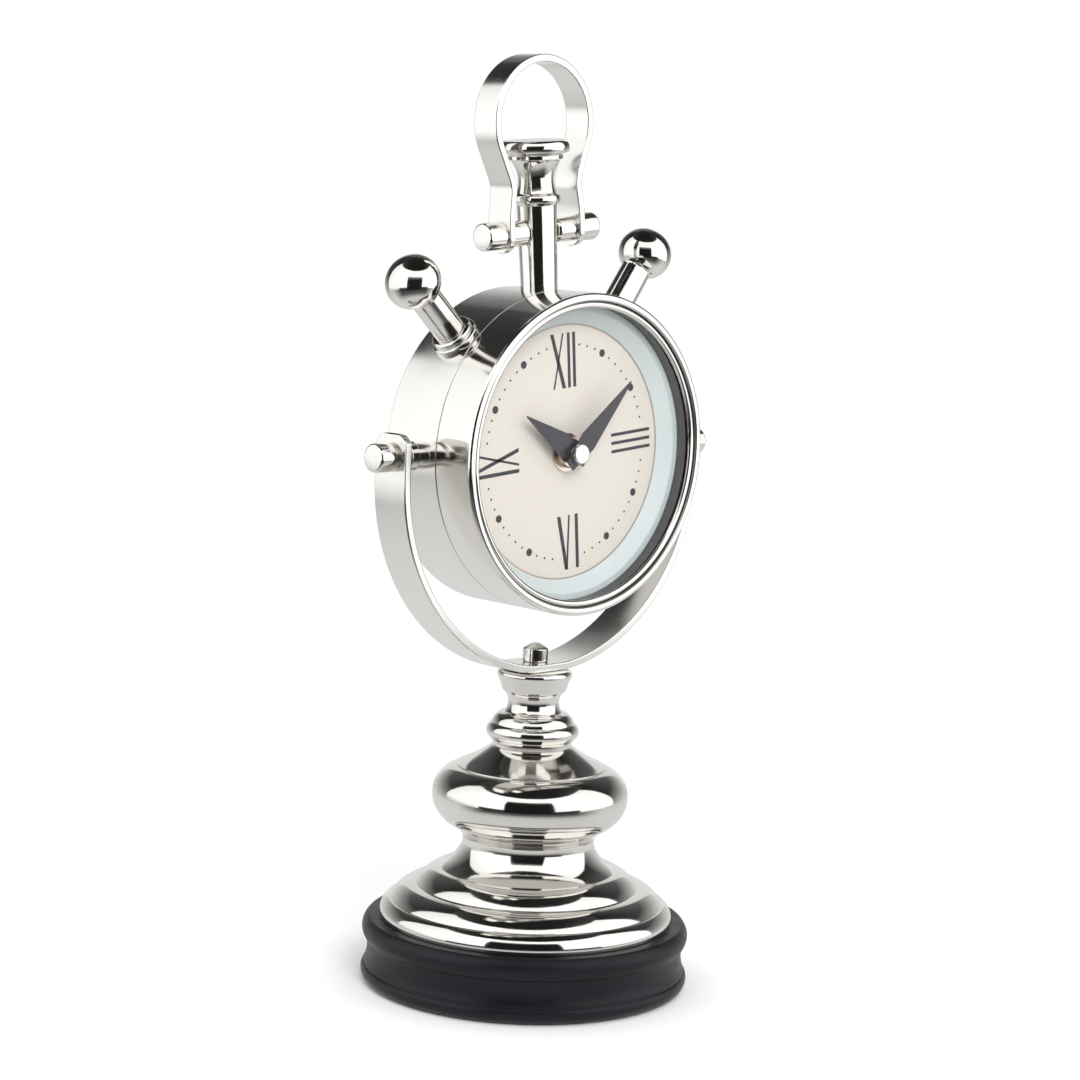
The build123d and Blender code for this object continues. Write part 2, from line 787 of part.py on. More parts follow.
with BuildPart() as movement_cover:
    with BuildSketch(front_plane(case_back)):
        with Locations((0, (bay_top + half) / 2)):
            Rectangle(movement_size - 2 * shell - 0.2, half - bay_top - 2 * shell - 0.2)
        with Locations((0, setting_distance)):
            Circle(setting_arbor_radius + 0.05, mode=Mode.SUBTRACT)
    extrude(amount=cover_plate)
    with BuildSketch(front_plane(case_back + 0.4)):
        Circle(arbor_radius + 0.05)
    extrude(amount=cover_plate, mode=Mode.SUBTRACT)
save("movement_cover", movement_cover.part)

battery_radius = 7.1
battery_length = 49.5
battery_depth = case_back + movement_depth - shell - battery_radius - 0.1
battery_row = (bay_top - half) / 2
battery_section = front_plane(battery_depth).shift_origin(
    Vector(0, -battery_depth, pivot_height) + case_direction(0) * battery_row
)
battery_axis = Axis(battery_section.origin, case_direction(90))
battery_points = [
    (-battery_length / 2, 0),
    (-battery_length / 2, battery_radius - 1.5),
    (-battery_length / 2 + 0.6, battery_radius),
    (battery_length / 2 - 1.8, battery_radius),
    (battery_length / 2 - 1.2, battery_radius - 1.0),
    (battery_length / 2 - 1.2, 2.7),
    (battery_length / 2, 2.7),
    (battery_length / 2, 0),
]
save("battery", turned_piece(battery_section, battery_axis, battery_points))

contact_thickness = 0.8
contact_width = 10.0
with BuildPart() as battery_contacts:
    with BuildSketch(battery_section.offset(-contact_width / 2)):
        for side in (-1, 1):
            with Locations((side * (battery_length + contact_thickness) / 2, 0)):
                Rectangle(contact_thickness, contact_width)
    extrude(amount=contact_width)
save("battery_contacts", battery_contacts.part)

board_thickness = 1.0
board_column = -17.0
board_row = 18.0
with BuildPart() as circuit_board:
    with BuildSketch(front_plane(case_front - shell - 3 * board_thickness)):
        with Locations((board_column, board_row)):
            Rectangle(17.0, 14.0)
    extrude(amount=board_thickness)
save("circuit_board", circuit_board.part)

coil_depth = 4.0
coil_row = -1.5
coil_column = -19.0
coil_plane = front_plane(coil_depth)
coil_section = coil_plane.shift_origin(
    coil_plane.origin + case_direction(90) * coil_column + case_direction(0) * coil_row
)
coil_points = [(-6.5, 1.7), (-6.5, 4.0), (-5.7, 4.0), (-5.7, 3.4), (5.7, 3.4), (5.7, 4.0), (6.5, 4.0), (6.5, 1.7)]
save("motor_coil", turned_piece(coil_section, Axis(coil_section.origin, case_direction(90)), coil_points))

stator_thickness = 1.2
stator_arm = 7.05             # arms outside the coil, up to the pole piece round the rotor
rotor_row = 12.0
with BuildPart() as motor_stator:
    with BuildSketch(coil_section.offset(-stator_thickness / 2)):
        Rectangle(15.4, 2.2)
        for side in (-1, 1):
            with Locations((side * stator_arm, 5.5)):
                Rectangle(1.1, 13.2)
        with Locations((0, rotor_row)):
            Rectangle(14.9, 4.4)
            Circle(1.6, mode=Mode.SUBTRACT)
    extrude(amount=stator_thickness)
save("motor_stator", motor_stator.part)


def gear_points(teeth, module, phase):
    # straight-flanked clock teeth with a tooth centred on the phase angle, in degrees
    pitch_radius = teeth * module / 2
    half_tooth = pi / (2 * teeth)
    points = []
    for tooth in range(teeth):
        middle = radians(phase) + 2 * pi * tooth / teeth
        for radius, share in (
            (pitch_radius - 1.2 * module, -1.15),
            (pitch_radius + 0.8 * module, -0.4),
            (pitch_radius + 0.8 * module, 0.4),
            (pitch_radius - 1.2 * module, 1.15),
        ):
            turn = middle + share * half_tooth
            points.append((radius * cos(turn), radius * sin(turn)))
    return points


cannon_teeth = 12
minute_teeth = 36
minute_pinion_teeth = 10
hour_teeth = 40
cannon_module = 2 * setting_distance / (cannon_teeth + minute_teeth)
hour_module = 2 * setting_distance / (minute_pinion_teeth + hour_teeth)
hour_wheel_depth = 8.4
cannon_depth = 6.9
wheel_thickness = 0.9
hour_hand_depth = 16.9
minute_hand_depth = 18.8
hand_thickness = 0.5
cap_top = 21.0
centre_wheel_depth = 2.0
centre_wheel_radius = 7.2

with BuildPart() as hour_wheel:
    with BuildSketch(front_plane(hour_wheel_depth)):
        with BuildLine():
            Polyline(*gear_points(hour_teeth, hour_module, 90 + 180 / hour_teeth), close=True)
        make_face()
    extrude(amount=wheel_thickness)
    with BuildSketch(front_plane(hour_wheel_depth)):
        Circle(pipe_radius)
    extrude(amount=hour_hand_depth + hand_thickness - hour_wheel_depth)
    with BuildSketch(front_plane(hour_wheel_depth)):
        Circle(arbor_radius + 0.06)
    extrude(amount=hour_hand_depth, mode=Mode.SUBTRACT)
save("hour_wheel", hour_wheel.part)

with BuildPart() as minute_arbor:
    with BuildSketch(front_plane(case_back + 0.5)):
        Circle(arbor_radius)
    extrude(amount=cap_top - 0.6 - case_back - 0.5)
    with BuildSketch(front_plane(cannon_depth)):
        with BuildLine():
            Polyline(*gear_points(cannon_teeth, cannon_module, 90), close=True)
        make_face()
    extrude(amount=wheel_thickness)
    with BuildSketch(front_plane(centre_wheel_depth)):
        Circle(centre_wheel_radius)
    extrude(amount=wheel_thickness)
save("minute_arbor", minute_arbor.part)

with BuildPart() as minute_wheel:
    with BuildSketch(front_plane(cannon_depth, rise=setting_distance)):
        with BuildLine():
            Polyline(*gear_points(minute_teeth, cannon_module, -90 + 180 / minute_teeth), close=True)
        make_face()
    extrude(amount=wheel_thickness)
    with BuildSketch(front_plane(cannon_depth + wheel_thickness, rise=setting_distance)):
        with BuildLine():
            Polyline(*gear_points(minute_pinion_teeth, hour_module, -90), close=True)
        make_face()
    extrude(amount=hour_wheel_depth - cannon_depth)
    with BuildSketch(front_plane(case_back - 0.4, rise=setting_distance)):
        Circle(setting_arbor_radius)
    extrude(amount=case_front - case_back - 0.1)
save("minute_wheel", minute_wheel.part)

knob_radius = 6.0
knob_height = 4.0
knob_grips = 18
with BuildPart() as setting_knob:
    with BuildSketch(front_plane(case_back - 0.4 - knob_height)):
        with Locations((0, setting_distance)):
            Circle(knob_radius)
    extrude(amount=knob_height)
    with BuildSketch(front_plane(case_back - 0.4 - knob_height)):
        with Locations((0, setting_distance)):
            with PolarLocations(knob_radius, knob_grips):
                Circle(0.45)
    extrude(amount=knob_height, mode=Mode.SUBTRACT)
save("setting_knob", setting_knob.part)

centre_washer_thickness = 0.9
with BuildPart() as centre_washer:
    with BuildSketch(front_plane(dial_depth)):
        Circle(7.2)
        Circle(shaft_radius, mode=Mode.SUBTRACT)
    extrude(amount=centre_washer_thickness)
save("centre_washer", centre_washer.part)

with BuildPart() as centre_nut:
    with BuildSketch(front_plane(dial_depth + centre_washer_thickness)):
        Circle(5.8)
        Circle(shaft_radius, mode=Mode.SUBTRACT)
    extrude(amount=2.4)
    chamfer(centre_nut.edges().group_by(Axis.Y)[0].sort_by(SortBy.LENGTH)[-1], length=0.5)
save("centre_nut", centre_nut.part)


def clock_hand(depth, angle, length, shoulder, half_width, hole):
    # a flat tapered hand with a short blunt tail, stamped from sheet
    with BuildPart() as hand:
        with BuildSketch(front_plane(depth, angle)):
            with BuildLine():
                Polyline(
                    (-0.25, length),
                    (0.25, length),
                    (half_width, shoulder),
                    (half_width - 1.0, 0),
                    (2.3, -6.3),
                    (-2.3, -6.3),
                    (1.0 - half_width, 0),
                    (-half_width, shoulder),
                    close=True,
                )
            make_face()
            Circle(hole, mode=Mode.SUBTRACT)
        extrude(amount=hand_thickness)
    return hand.part


save("hour_hand", clock_hand(hour_hand_depth, hour_hand_angle, 29.3, 7.0, 4.5, pipe_radius))
save("minute_hand", clock_hand(minute_hand_depth, minute_hand_angle, 37.0, 6.5, 4.2, arbor_radius))

cap_nut_depth = minute_hand_depth + hand_thickness
with BuildPart() as hand_cap_nut:
    with BuildSketch(front_plane(cap_nut_depth)):
        Circle(3.9)
    extrude(amount=cap_top - cap_nut_depth)
    fillet(hand_cap_nut.edges().group_by(Axis.Y)[0], radius=0.4)
    with BuildSketch(front_plane(cap_nut_depth)):
        Circle(arbor_radius)
    extrude(amount=cap_top - 0.6 - cap_nut_depth, mode=Mode.SUBTRACT)
save("hand_cap_nut", hand_cap_nut.part)
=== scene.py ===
import math

import bpy
import numpy as np
from mathutils import Matrix, Vector


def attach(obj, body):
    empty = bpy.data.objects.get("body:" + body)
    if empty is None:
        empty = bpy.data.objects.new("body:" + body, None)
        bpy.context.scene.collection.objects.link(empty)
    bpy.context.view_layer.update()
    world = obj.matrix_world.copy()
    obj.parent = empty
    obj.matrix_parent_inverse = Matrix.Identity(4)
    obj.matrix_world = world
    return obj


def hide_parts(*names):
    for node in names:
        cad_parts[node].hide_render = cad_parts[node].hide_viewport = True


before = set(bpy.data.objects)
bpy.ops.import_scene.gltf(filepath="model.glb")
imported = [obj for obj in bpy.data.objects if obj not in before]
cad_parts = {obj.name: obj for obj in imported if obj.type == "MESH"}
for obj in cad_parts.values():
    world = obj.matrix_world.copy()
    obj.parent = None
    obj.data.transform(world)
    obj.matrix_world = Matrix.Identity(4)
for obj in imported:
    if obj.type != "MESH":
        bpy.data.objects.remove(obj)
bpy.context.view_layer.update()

# ---------------------------------------------------------------- camera
# A short telephoto, a little above the clock and to its left, looking slightly down. It
# stands level with the crown and is rolled by about two degrees.
camera_bearing = math.radians(43.92)
camera_pitch = math.radians(7.5)
camera_roll = math.radians(2.27)
camera_distance = 1.0567
camera_height = 0.310
camera_lens = 94.0
camera_sensor = 36.0
sight = Vector((math.sin(camera_bearing), math.cos(camera_bearing), 0))
across = Vector((math.cos(camera_bearing), -math.sin(camera_bearing), 0))
upright = Vector((0, 0, 1))
looking = math.cos(camera_pitch) * sight - math.sin(camera_pitch) * upright
lifted = math.cos(camera_pitch) * upright + math.sin(camera_pitch) * sight
rolled_across = math.cos(camera_roll) * across + math.sin(camera_roll) * lifted
rolled_up = math.cos(camera_roll) * lifted - math.sin(camera_roll) * across
camera = bpy.data.objects.new("camera", bpy.data.cameras.new("camera"))
camera.data.sensor_width = camera_sensor
camera.data.lens = camera_lens
camera.matrix_world = Matrix.Translation(-camera_distance * sight + camera_height * upright) @ Matrix(
    (
        (rolled_across.x, rolled_up.x, -looking.x, 0),
        (rolled_across.y, rolled_up.y, -looking.y, 0),
        (rolled_across.z, rolled_up.z, -looking.z, 0),
        (0, 0, 0, 1),
    )
)
bpy.context.scene.collection.objects.link(camera)
bpy.context.scene.camera = camera
bpy.context.scene.view_settings.view_transform = "Standard"

# ---------------------------------------------------------------- studio
# A white room, and cards that only polished metal sees: a dark opening towards the
# camera, white light boxes on both sides of it, a dark ceiling and dark side flags.
world = bpy.data.worlds.new("white_room")
world.use_nodes = True
world.node_tree.nodes["Background"].inputs["Color"].default_value = (1, 1, 1, 1)
world.node_tree.nodes["Background"].inputs["Strength"].default_value = 1.0
bpy.context.scene.world = world

card_red = 0.985          # the cards' light is a little cooler than the room's
card_paint = bpy.data.materials.new("studio_card")
card_paint.use_nodes = True
card_tree = card_paint.node_tree
card_tree.nodes.clear()
card_light = card_tree.nodes.new("ShaderNodeAttribute")
card_light.attribute_name = "light"
card_glow = card_tree.nodes.new("ShaderNodeEmission")
card_out = card_tree.nodes.new("ShaderNodeOutputMaterial")
card_tree.links.new(card_light.outputs["Color"], card_glow.inputs["Color"])
card_tree.links.new(card_glow.outputs["Emission"], card_out.inputs["Surface"])


def studio_card(name, points, faces, light):
    mesh = bpy.data.meshes.new(name)
    mesh.from_pydata([tuple(p) for p in points], [], faces)
    shades = mesh.attributes.new("light", "FLOAT_COLOR", "POINT")
    for i, shade in enumerate(light):
        shades.data[i].color = (shade * card_red, shade, shade, 1)
    mesh.materials.append(card_paint)
    card = bpy.data.objects.new(name, mesh)
    bpy.context.scene.collection.objects.link(card)
    card.visible_camera = False
    card.visible_diffuse = False
    card.visible_shadow = False
    card.visible_transmission = False
    return card


def curved_card(name, radius, start, end, levels, steps=24):
    # levels: (height, light at the start, light at the end), from the bottom up
    points, light, faces = [], [], []
    for height, first, last in levels:
        for i in range(steps + 1):
            share = i / steps
            turn = math.radians(start + (end - start) * share)
            towards = Matrix.Rotation(turn, 3, "Z") @ -sight
            points.append(towards * radius + Vector((0, 0, height)))
            light.append(first + (last - first) * share)
    for row in range(len(levels) - 1):
        for i in range(steps):
            a = row * (steps + 1) + i
            faces.append((a, a + 1, a + steps + 2, a + steps + 1))
    return studio_card(name, points, faces, light)


dark_opening = ((-0.02, 0.012, 0.012), (0.44, 0.012, 0.012), (0.56, 0.30, 0.30))
front_box_left = ((0.07, 1.0, 1.0), (0.14, 1.40, 1.45), (1.30, 1.35, 1.35))
front_box_right = ((0.07, 1.0, 1.3), (0.14, 1.45, 1.45), (1.30, 1.35, 1.35))
flag_levels = ((-0.02, 0.78, 0.45), (0.20, 0.60, 0.16), (0.48, 0.12, 0.02), (1.3, 0.015, 0.015))
wall_levels = ((-0.02, 0.85, 0.85), (0.50, 0.75, 0.75), (0.80, 0.20, 0.20), (1.3, 0.04, 0.04))
curved_card("opening", 0.60, -29, 29, dark_opening)
curved_card("light_box_left", 0.80, -112, -60, [(0.0, 0.55, 1.0), (0.14, 1.15, 1.40), (1.30, 1.00, 1.35)])
curved_card("light_box_left_front", 0.80, -60, -27, front_box_left)
curved_card("light_box_right", 0.80, 60, 112, [(0.0, 1.3, 1.3), (0.14, 1.45, 1.40), (1.30, 1.35, 1.10)])
curved_card("light_box_right_front", 0.80, 27, 60, front_box_right)
curved_card("light_box_over", 0.82, -30, 30, [(0.45, 1.25, 1.25), (1.30, 1.25, 1.25)])
curved_card("horizon", 0.84, -62, 62, [(-0.02, 0.03, 0.03), (0.08, 0.03, 0.03)])
curved_card("flag_left", 0.86, -160, -110, flag_levels)
curved_card("flag_right", 0.86, 110, 160, [(height, near, far) for height, far, near in flag_levels])
curved_card("back_wall", 0.90, 152, 208, wall_levels)

level_front = 55          # degrees off the front where a level card's light starts to change
level_fade = 35           # degrees that the change takes


def level_card(name, height, hub, rings, steps=48):
    # a flat disc made of rings: (radius, light at the front, light at the back)
    points, light, faces = [Vector((0, 0, height))], [hub], []
    for ring, (radius, front, back) in enumerate(rings):
        for i in range(steps):
            turn = 2 * math.pi * i / steps
            points.append(Matrix.Rotation(turn, 3, "Z") @ -sight * radius + Vector((0, 0, height)))
            off_front = math.degrees(min(turn, 2 * math.pi - turn))
            light.append(front + (back - front) * min(max((off_front - level_front) / level_fade, 0), 1))
            after = (i + 1) % steps
            if ring == 0:
                faces.append((0, 1 + i, 1 + after))
            else:
                inner = 1 + (ring - 1) * steps
                faces.append((inner + i, inner + after, inner + steps + after, inner + steps + i))
    return studio_card(name, points, faces, light)


level_card("ceiling", 1.32, 0.015, ((0.45, 0.015, 0.02), (0.90, 0.015, 0.06)))
sheen_rings = ((0.18, 0.66, 0.76), (0.34, 0.12, 0.74), (0.60, 0.04, 0.66), (0.90, 0.03, 0.50))
level_card("table_sheen", 0.0015, 0.72, sheen_rings)

key_side = 0.9
key_power = 27.0
key_place = (-0.9, -1.7, 1.25)
key_aim = Vector((0, 0, 0.15))
key = bpy.data.objects.new("key_light", bpy.data.lights.new("key_light", "AREA"))
key.data.shape = "RECTANGLE"
key.data.size = key_side
key.data.size_y = key_side
key.data.energy = key_power
key.location = key_place
key.rotation_euler = (key_aim - key.location).to_track_quat("-Z", "Y").to_euler()
key.visible_camera = False
key.visible_glossy = False
bpy.context.scene.collection.objects.link(key)

floor_reach = 8
floor_shadow_start = 0.066  # the floor takes the clock's shadow near the plinth and glows beyond
floor_shadow_end = 0.22
floor_white = 0.93
floor_corners = [(x * floor_reach, y * floor_reach, 0) for x, y in ((-1, -1), (1, -1), (1, 1), (-1, 1))]
floor_mesh = bpy.data.meshes.new("floor")
floor_mesh.from_pydata(floor_corners, [], [(0, 1, 2, 3)])
floor = bpy.data.objects.new("floor", floor_mesh)
bpy.context.scene.collection.objects.link(floor)
floor_paint = bpy.data.materials.new("white_floor")
floor_paint.use_nodes = True
floor_tree = floor_paint.node_tree
floor_tree.nodes.clear()
floor_place = floor_tree.nodes.new("ShaderNodeTexCoord")
floor_length = floor_tree.nodes.new("ShaderNodeVectorMath")
floor_length.operation = "LENGTH"
floor_fade = floor_tree.nodes.new("ShaderNodeMapRange")
floor_fade.interpolation_type = "SMOOTHSTEP"
floor_fade.inputs["From Min"].default_value = floor_shadow_start
floor_fade.inputs["From Max"].default_value = floor_shadow_end
floor_matt = floor_tree.nodes.new("ShaderNodeBsdfDiffuse")
floor_matt.inputs["Color"].default_value = (floor_white, floor_white, floor_white, 1)
floor_glow = floor_tree.nodes.new("ShaderNodeEmission")
floor_glow.inputs["Strength"].default_value = 1.0
floor_mix = floor_tree.nodes.new("ShaderNodeMixShader")
floor_out = floor_tree.nodes.new("ShaderNodeOutputMaterial")
floor_tree.links.new(floor_place.outputs["Object"], floor_length.inputs[0])
floor_tree.links.new(floor_length.outputs["Value"], floor_fade.inputs["Value"])
floor_tree.links.new(floor_fade.outputs["Result"], floor_mix.inputs["Fac"])
floor_tree.links.new(floor_matt.outputs["BSDF"], floor_mix.inputs[1])
floor_tree.links.new(floor_glow.outputs["Emission"], floor_mix.inputs[2])
floor_tree.links.new(floor_mix.outputs["Shader"], floor_out.inputs["Surface"])
floor_mesh.materials.append(floor_paint)

# ---------------------------------------------------------------- plinth
# Turned from wood in one piece: a bead at the foot, a groove, a shallow cove and a bead
# at the top, under satin black paint. The pedestal's rod is screwed up through it.
mm = 0.001                # profiles are in millimetres, and meshes in metres
arc_step = 3              # degrees
fewest_arc_steps = 12
smooth_turn = math.cos(math.radians(7))  # a profile that turns more has a corner, which is eased
longest_ease = 0.42       # of the shorter side's length
ease_shares = np.array((0.2, 0.4, 0.6, 0.8))[:, None]
axis_reach = 1e-4         # a profile's point nearer to the axis than this is on it


def arc_run(start, middle, end):
    # points and tangents of the arc through three points
    p, m, q = (np.array(v, float) for v in (start, middle, end))
    a, b = m - p, q - p
    cross = a[0] * b[1] - a[1] * b[0]
    centre = p + np.array((b[1] * (a @ a) - a[1] * (b @ b), a[0] * (b @ b) - b[0] * (a @ a))) / (2 * cross)
    first = math.atan2(p[1] - centre[1], p[0] - centre[0])
    last = math.atan2(q[1] - centre[1], q[0] - centre[0])
    turn = (last - first) % (2 * math.pi)
    if cross < 0:
        turn -= 2 * math.pi
    steps = max(fewest_arc_steps, math.ceil(abs(math.degrees(turn)) / arc_step))
    angles = first + turn * np.linspace(0, 1, steps + 1)
    spokes = np.stack((np.cos(angles), np.sin(angles)), 1)
    tangents = np.stack((-spokes[:, 1], spokes[:, 0]), 1) * math.copysign(1, turn)
    return centre + spokes * np.linalg.norm(p - centre), tangents


def curve_run(points, per_span=8):
    # points and tangents of a smooth curve through the given points
    p = np.array(points, float)
    length = np.concatenate(([0], np.cumsum(np.linalg.norm(np.diff(p, axis=0), axis=1))))
    slope = np.gradient(p, length, axis=0, edge_order=2)
    places, tangents = [], []
    for i in range(len(p) - 1):
        span = length[i + 1] - length[i]
        share = np.linspace(0, 1, per_span + 1)[:, None]
        if i < len(p) - 2:
            share = share[:-1]
        m0, m1 = slope[i] * span, slope[i + 1] * span
        places.append(
            (2 * share**3 - 3 * share**2 + 1) * p[i]
            + (share**3 - 2 * share**2 + share) * m0
            + (3 * share**2 - 2 * share**3) * p[i + 1]
            + (share**3 - share**2) * m1
        )
        tangents.append(
            (6 * share**2 - 6 * share) * p[i]
            + (3 * share**2 - 4 * share + 1) * m0
            + (6 * share - 6 * share**2) * p[i + 1]
            + (3 * share**2 - 2 * share) * m1
        )
    tangents = np.concatenate(tangents)
    return np.concatenate(places), tangents / np.linalg.norm(tangents, axis=1)[:, None]


def trimmed(run, cut):
    # the run without its last stretch of the given length
    places, tangents = run
    length = np.concatenate(([0], np.cumsum(np.linalg.norm(np.diff(places, axis=0), axis=1))))
    end = length[-1] - cut
    kept = length < end - 1e-6
    place = [np.interp(end, length, places[:, i]) for i in (0, 1)]
    tangent = [np.interp(end, length, tangents[:, i]) for i in (0, 1)]
    return np.vstack((places[kept], place)), np.vstack((tangents[kept], tangent))


def reversed_run(run):
    return run[0][::-1], run[1][::-1]


def outline(start, *steps, ease=0.25, closed=False):
    # a profile in mm: (x, y) runs straight, (mx, my, x, y) bends through a middle point, and a
    # list of points is a smooth curve. Sharp corners are eased over the given length.
    runs, at = [], start
    for step in steps:
        if isinstance(step, list):
            runs.append(curve_run([at, *step]))
            at = step[-1]
        elif len(step) == 4:
            runs.append(arc_run(at, step[:2], step[2:]))
            at = step[2:]
        else:
            way = np.array(step, float) - np.array(at, float)
            way /= np.linalg.norm(way)
            runs.append((np.array((at, step), float), np.array((way, way))))
            at = step
    spans = [np.linalg.norm(np.diff(run[0], axis=0), axis=1).sum() for run in runs]
    joins = {}
    for i in range(len(runs) if closed else len(runs) - 1):
        j = (i + 1) % len(runs)
        if runs[i][1][-1] @ runs[j][1][0] < smooth_turn:
            joins[i] = runs[i][0][-1], min(ease, longest_ease * spans[i], longest_ease * spans[j])
    for i, (_, cut) in joins.items():
        j = (i + 1) % len(runs)
        runs[i] = trimmed(runs[i], cut)
        runs[j] = reversed_run(trimmed(reversed_run(runs[j]), cut))
    places, tangents = [], []
    for i, run in enumerate(runs):
        smooth = (i - 1) % len(runs) not in joins and (i > 0 or closed)
        if smooth and i > 0:
            way = tangents[-1][-1] + run[1][0]
            tangents[-1][-1] = way / np.linalg.norm(way)
        places.append(run[0][1:] if smooth else run[0])
        tangents.append(run[1][1:].copy() if smooth else run[1].copy())
        if i in joins:
            corner = joins[i][0]
            after = runs[(i + 1) % len(runs)][0][0]
            before = run[0][-1]
            places.append(
                (1 - ease_shares) ** 2 * before
                + 2 * ease_shares * (1 - ease_shares) * corner
                + ease_shares**2 * after
            )
            way = 2 * (1 - ease_shares) * (corner - before) + 2 * ease_shares * (after - corner)
            tangents.append(way / np.linalg.norm(way, axis=1)[:, None])
    return np.concatenate(places), np.concatenate(tangents)


def shaded_mesh(name, points, faces, corner_normals, material):
    # a mesh in metres from points in mm, with the exact normals of its surface
    mesh = bpy.data.meshes.new(name)
    mesh.from_pydata([tuple(p * mm) for p in points], [], faces)
    mesh.polygons.foreach_set("use_smooth", [True] * len(mesh.polygons))
    mesh.normals_split_custom_set([tuple(n) for n in corner_normals])
    mesh.materials.append(material)
    piece = bpy.data.objects.new(name, mesh)
    bpy.context.scene.collection.objects.link(piece)
    return piece


def turned(name, profile, material, origin=(0, 0, 0), along=(0, 0, 1), closed=False, segments=160):
    # a profile of (radius, height) spun about an axis; it runs outwards, up and back in
    places, tangents = profile
    along = np.array(along, float)
    side = np.array(Vector(along).orthogonal().normalized())
    other = np.cross(along, side)
    turns = 2 * math.pi * np.arange(segments) / segments
    spokes = np.cos(turns)[:, None] * side + np.sin(turns)[:, None] * other
    points, normals, rings = [], [], []
    for (radius, height), (dr, dh) in zip(places, tangents):
        centre = np.array(origin, float) + along * height
        if radius < axis_reach:
            rings.append([len(points)] * segments)
            points.append(centre)
            normals.append(along * -dr)
        else:
            rings.append(list(range(len(points), len(points) + segments)))
            points.extend(centre + spokes * radius)
            normals.extend(spokes * dh - along * dr)
    faces, corners = [], []
    pairs = list(zip(rings, rings[1:]))
    if closed:
        pairs.append((rings[-1], rings[0]))
    for low, high in pairs:
        for i in range(segments):
            j = (i + 1) % segments
            face = [low[i], low[j], high[j], high[i]]
            face = [v for k, v in enumerate(face) if v != face[k - 1]]
            faces.append(face)
            corners.extend(normals[v] for v in face)
    return shaded_mesh(name, points, faces, corners, material)


def new_material(name):
    material = bpy.data.materials.new(name)
    material.use_nodes = True
    tree = material.node_tree
    return material, tree, tree.nodes["Principled BSDF"]


def add_noise(tree, scale, detail, stretch=(1, 1, 1)):
    # noise on object coordinates, stretched along one way where asked
    coordinates = tree.nodes.new("ShaderNodeTexCoord")
    mapping = tree.nodes.new("ShaderNodeMapping")
    mapping.inputs["Scale"].default_value = stretch
    noise = tree.nodes.new("ShaderNodeTexNoise")
    noise.inputs["Scale"].default_value = scale
    noise.inputs["Detail"].default_value = detail
    tree.links.new(coordinates.outputs["Object"], mapping.inputs["Vector"])
    tree.links.new(mapping.outputs["Vector"], noise.inputs["Vector"])
    return noise.outputs["Fac"]


def ramp(tree, value, low, high, start=0.3, end=0.7):
    # a grey value or a colour read off a noise
    if isinstance(low, tuple):
        node = tree.nodes.new("ShaderNodeValToRGB")
        node.color_ramp.elements[0].position = start
        node.color_ramp.elements[1].position = end
        node.color_ramp.elements[0].color = (*low, 1)
        node.color_ramp.elements[1].color = (*high, 1)
        tree.links.new(value, node.inputs["Fac"])
        return node.outputs["Color"]
    node = tree.nodes.new("ShaderNodeMapRange")
    node.inputs["From Min"].default_value = start
    node.inputs["From Max"].default_value = end
    node.inputs["To Min"].default_value = low
    node.inputs["To Max"].default_value = high
    tree.links.new(value, node.inputs["Value"])
    return node.outputs["Result"]


def vary(tree, shader, socket, value, low, high, start=0.3, end=0.7):
    # one of the shader's own sockets wanders between two values or two colours
    tree.links.new(ramp(tree, value, low, high, start, end), shader.inputs[socket])


def add_bump(tree, shader, height, strength, distance):
    bump = tree.nodes.new("ShaderNodeBump")
    bump.inputs["Strength"].default_value = strength
    bump.inputs["Distance"].default_value = distance
    tree.links.new(height, bump.inputs["Height"])
    tree.links.new(bump.outputs["Normal"], shader.inputs["Normal"])


black_paint, tree, shader = new_material("satin_black_paint")
vary(tree, shader, "Base Color", add_noise(tree, 30, 4), (0.0028, 0.0033, 0.0056), (0.0055, 0.0062, 0.0095))
vary(tree, shader, "Roughness", add_noise(tree, 90, 5, (1, 1, 6)), 0.34, 0.46)
shader.inputs["Specular IOR Level"].default_value = 0.3
add_bump(tree, shader, add_noise(tree, 260, 3, (0.05, 0.05, 1)), 0.25, 0.0002)

plinth = turned(
    "plinth",
    outline(
        (11, 0.6),
        (59.9, 0.5),
        (62.2, 2.4, 62.0, 6.2),
        (61.4, 6.7),
        (61.4, 7.4),
        (60.5, 11.0, 60.6, 15.4),
        (60.9, 16.4),
        (62.5, 20.8, 60.3, 25.0),
        (11, 25.0),
        (11, 0.6),
        closed=True,
        ease=0.4,
    ),
    black_paint,
    closed=True,
    segments=200,
)
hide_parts("base_plinth")
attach(plinth, "stand")

# ---------------------------------------------------------------- felt, rod and nuts under the plinth
# A ring of black felt glued under the plinth so it doesn't scratch. The threaded rod that
# holds the whole stand together ends in a washer and a nut in the plinth's pocket.


def dress(material, *nodes):
    for node in nodes:
        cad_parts[node].data.materials.clear()
        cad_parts[node].data.materials.append(material)


felt, tree, shader = new_material("black_felt")
vary(tree, shader, "Base Color", add_noise(tree, 900, 5), (0.012, 0.012, 0.013), (0.035, 0.035, 0.037))
shader.inputs["Roughness"].default_value = 0.95
shader.inputs["Sheen Weight"].default_value = 0.3
add_bump(tree, shader, add_noise(tree, 1400, 4), 0.6, 0.0003)
dress(felt, "base_pad")

plated_steel, tree, shader = new_material("zinc_plated_steel")
shader.inputs["Metallic"].default_value = 1.0
vary(tree, shader, "Base Color", add_noise(tree, 120, 4), (0.50, 0.51, 0.53), (0.66, 0.67, 0.69))
vary(tree, shader, "Roughness", add_noise(tree, 300, 4), 0.22, 0.38)
add_bump(tree, shader, add_noise(tree, 700, 3), 0.15, 0.0001)
dress(plated_steel, "tie_rod", "tie_washer", "tie_nut")

